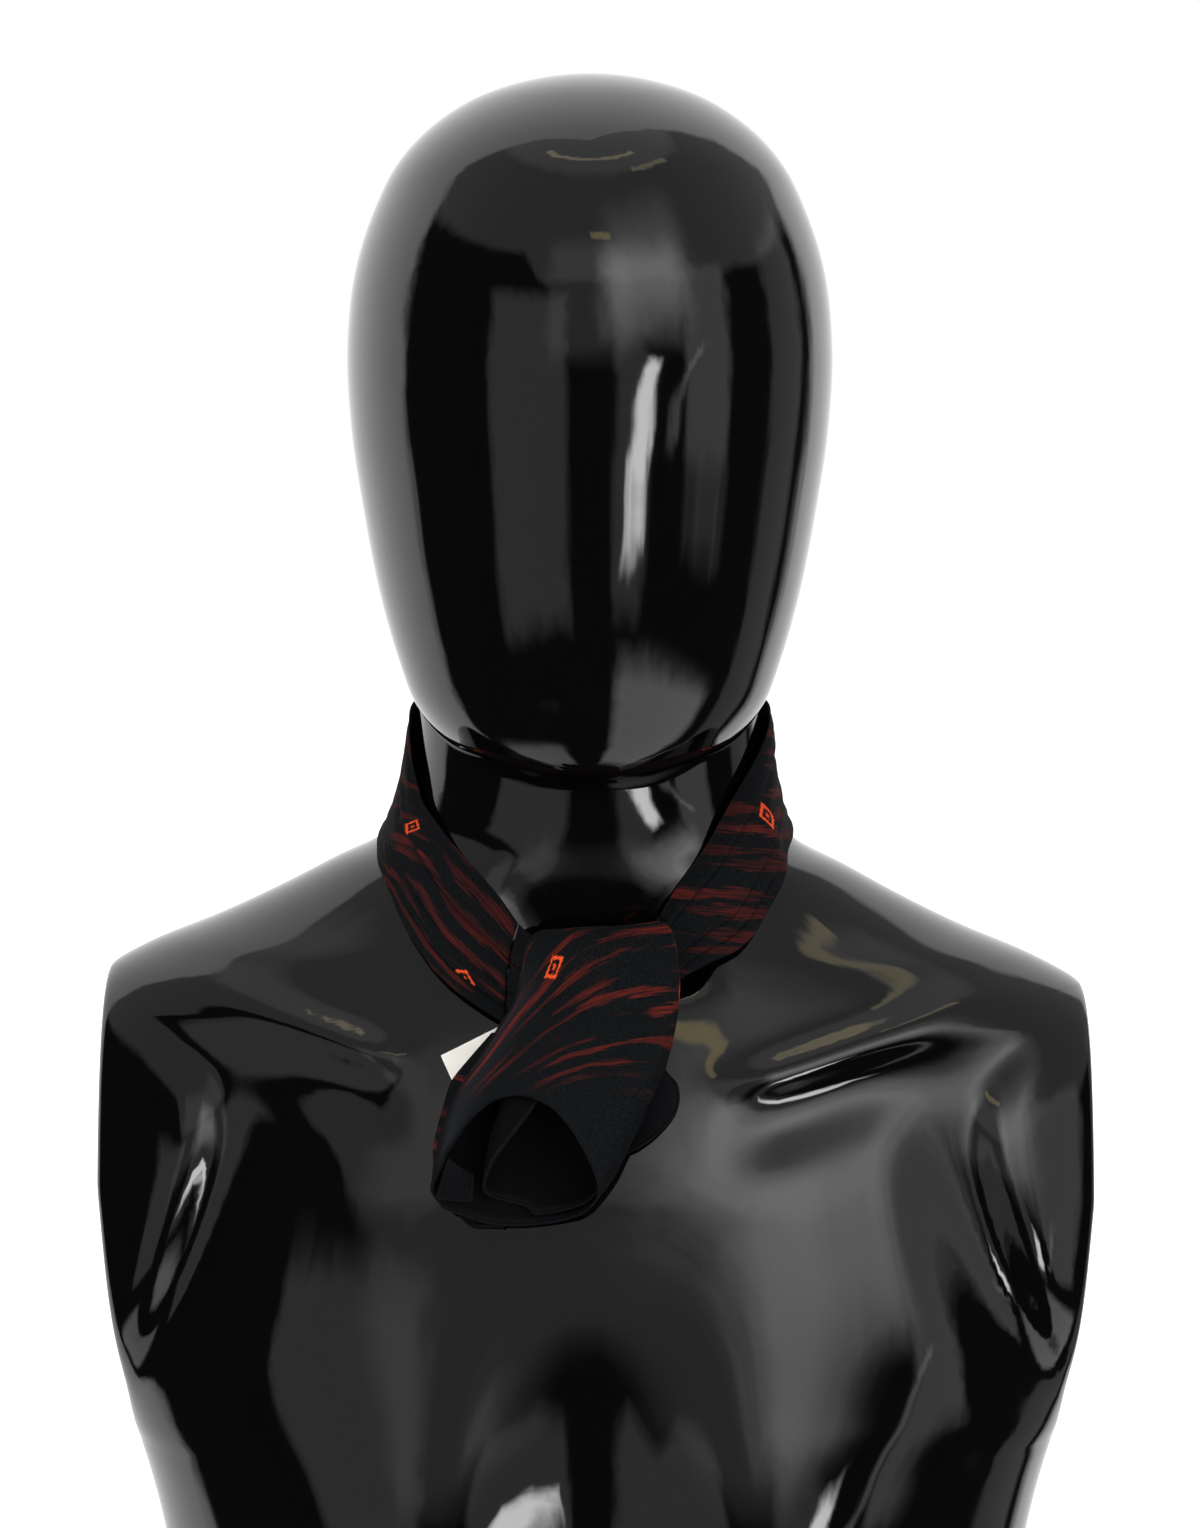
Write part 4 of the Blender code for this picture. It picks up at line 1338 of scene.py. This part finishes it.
def makeLamps(settings):
    for name, (place, size, power, aim) in settings["lamps"].items():
        data = bpy.data.lights.new(name, "AREA")
        data.shape = "RECTANGLE"
        data.size, data.size_y = size
        data.energy = power
        lamp = bpy.data.objects.new(name, data)
        lamp.location = place
        view = Vector((0, 0, aim)) - lamp.location
        lamp.rotation_euler = view.to_track_quat("-Z", "Y").to_euler()
        lamp.visible_camera = False
        lamp.visible_glossy = False
        bpy.context.scene.collection.objects.link(lamp)


# the room: white where it is seen, even white light on the cloth, zones in the lacquer
def makeRoom(settings):
    world = bpy.data.worlds.new("studioRoom")
    bpy.context.scene.world = world
    world.use_nodes = True
    tree = world.node_tree
    tree.nodes.clear()
    direction = addNode(tree, "TexCoord").outputs["Generated"]
    x, y, z = addNode(tree, "SeparateXYZ", direction).outputs
    cloud = addNode(tree, "TexNoise", direction, None, 7.0, 4.0, 0.6)
    rag = addNode(tree, "SeparateColor", cloud.outputs[1])
    bearing = calc(tree, "ARCTAN2", x, calc(tree, "MULTIPLY", y, -1.0))
    bearing = nudge(tree, bearing, rag.outputs[0], settings["raggedness"][0])
    rise = nudge(tree, calc(tree, "ARCSINE", z), rag.outputs[1], settings["raggedness"][1])

    def ramp(value, low, high, first=0.0, last=1.0):
        return ranged(tree, value, low, high, first, last, interpolation_type="SMOOTHSTEP")

    def zone(value, low, high, soft):
        return calc(tree, "MULTIPLY", ramp(value, low - soft, low + soft),
                    ramp(value, high - soft, high + soft, 1.0, 0.0))

    def most(a, b):
        return calc(tree, "MAXIMUM", a, b)

    side = calc(tree, "ABSOLUTE", bearing)
    behind = ramp(calc(tree, "MULTIPLY_ADD", bearing, -0.12, side), *settings["behindFrom"])
    # the ceiling starts higher on the left, over a dark wall
    first, second = (math.radians(value) for value in settings["ceilingFrom"])
    above = calc(tree, "SUBTRACT", rise, ramp(bearing, *settings["ceilingTurn"], second, first))
    ceiling = ramp(above, -0.03, 0.05, 0.0, settings["ceiling"])
    zenith = ramp(rise, *settings["zenithFrom"], 0.0, settings["zenith"])
    bright = most(behind, most(ceiling, zenith))
    bright = most(bright, settings["dark"])
    warmth = None
    for row in settings["room"]["rows"]:
        middle, half, low, high, soft = (math.radians(value) for value in row[:5])
        level, warm, slant = row[5:]
        turned = calc(tree, "SUBTRACT", rise, (low + high) / 2)
        turned = calc(tree, "MULTIPLY_ADD", turned, -slant, bearing)
        inside = calc(tree, "MULTIPLY", zone(turned, middle - half, middle + half, soft),
                      zone(rise, low, high, soft))
        bright = calc(tree, "MULTIPLY_ADD", inside, level, bright)
        if warm:
            part = calc(tree, "MULTIPLY", inside, warm)
            warmth = part if warmth is None else most(warmth, part)
    mirrored = addNode(tree, "LightPath").outputs["Is Glossy Ray"]
    level = addNode(tree, "Mix", mirrored, None, 1.0, bright, data_type="FLOAT").outputs[0]
    tint = blend(tree, calc(tree, "MULTIPLY", mirrored, warmth), (1, 1, 1, 1), settings["warmTint"])
    addNode(tree, "OutputWorld", addNode(tree, "Background", tint, level).outputs[0])


makeFloor(studioSettings)
makeLamps(studioSettings)
makeRoom(studioSettings)
bpy.context.scene.view_settings.view_transform = "Standard"
print("studio lit")
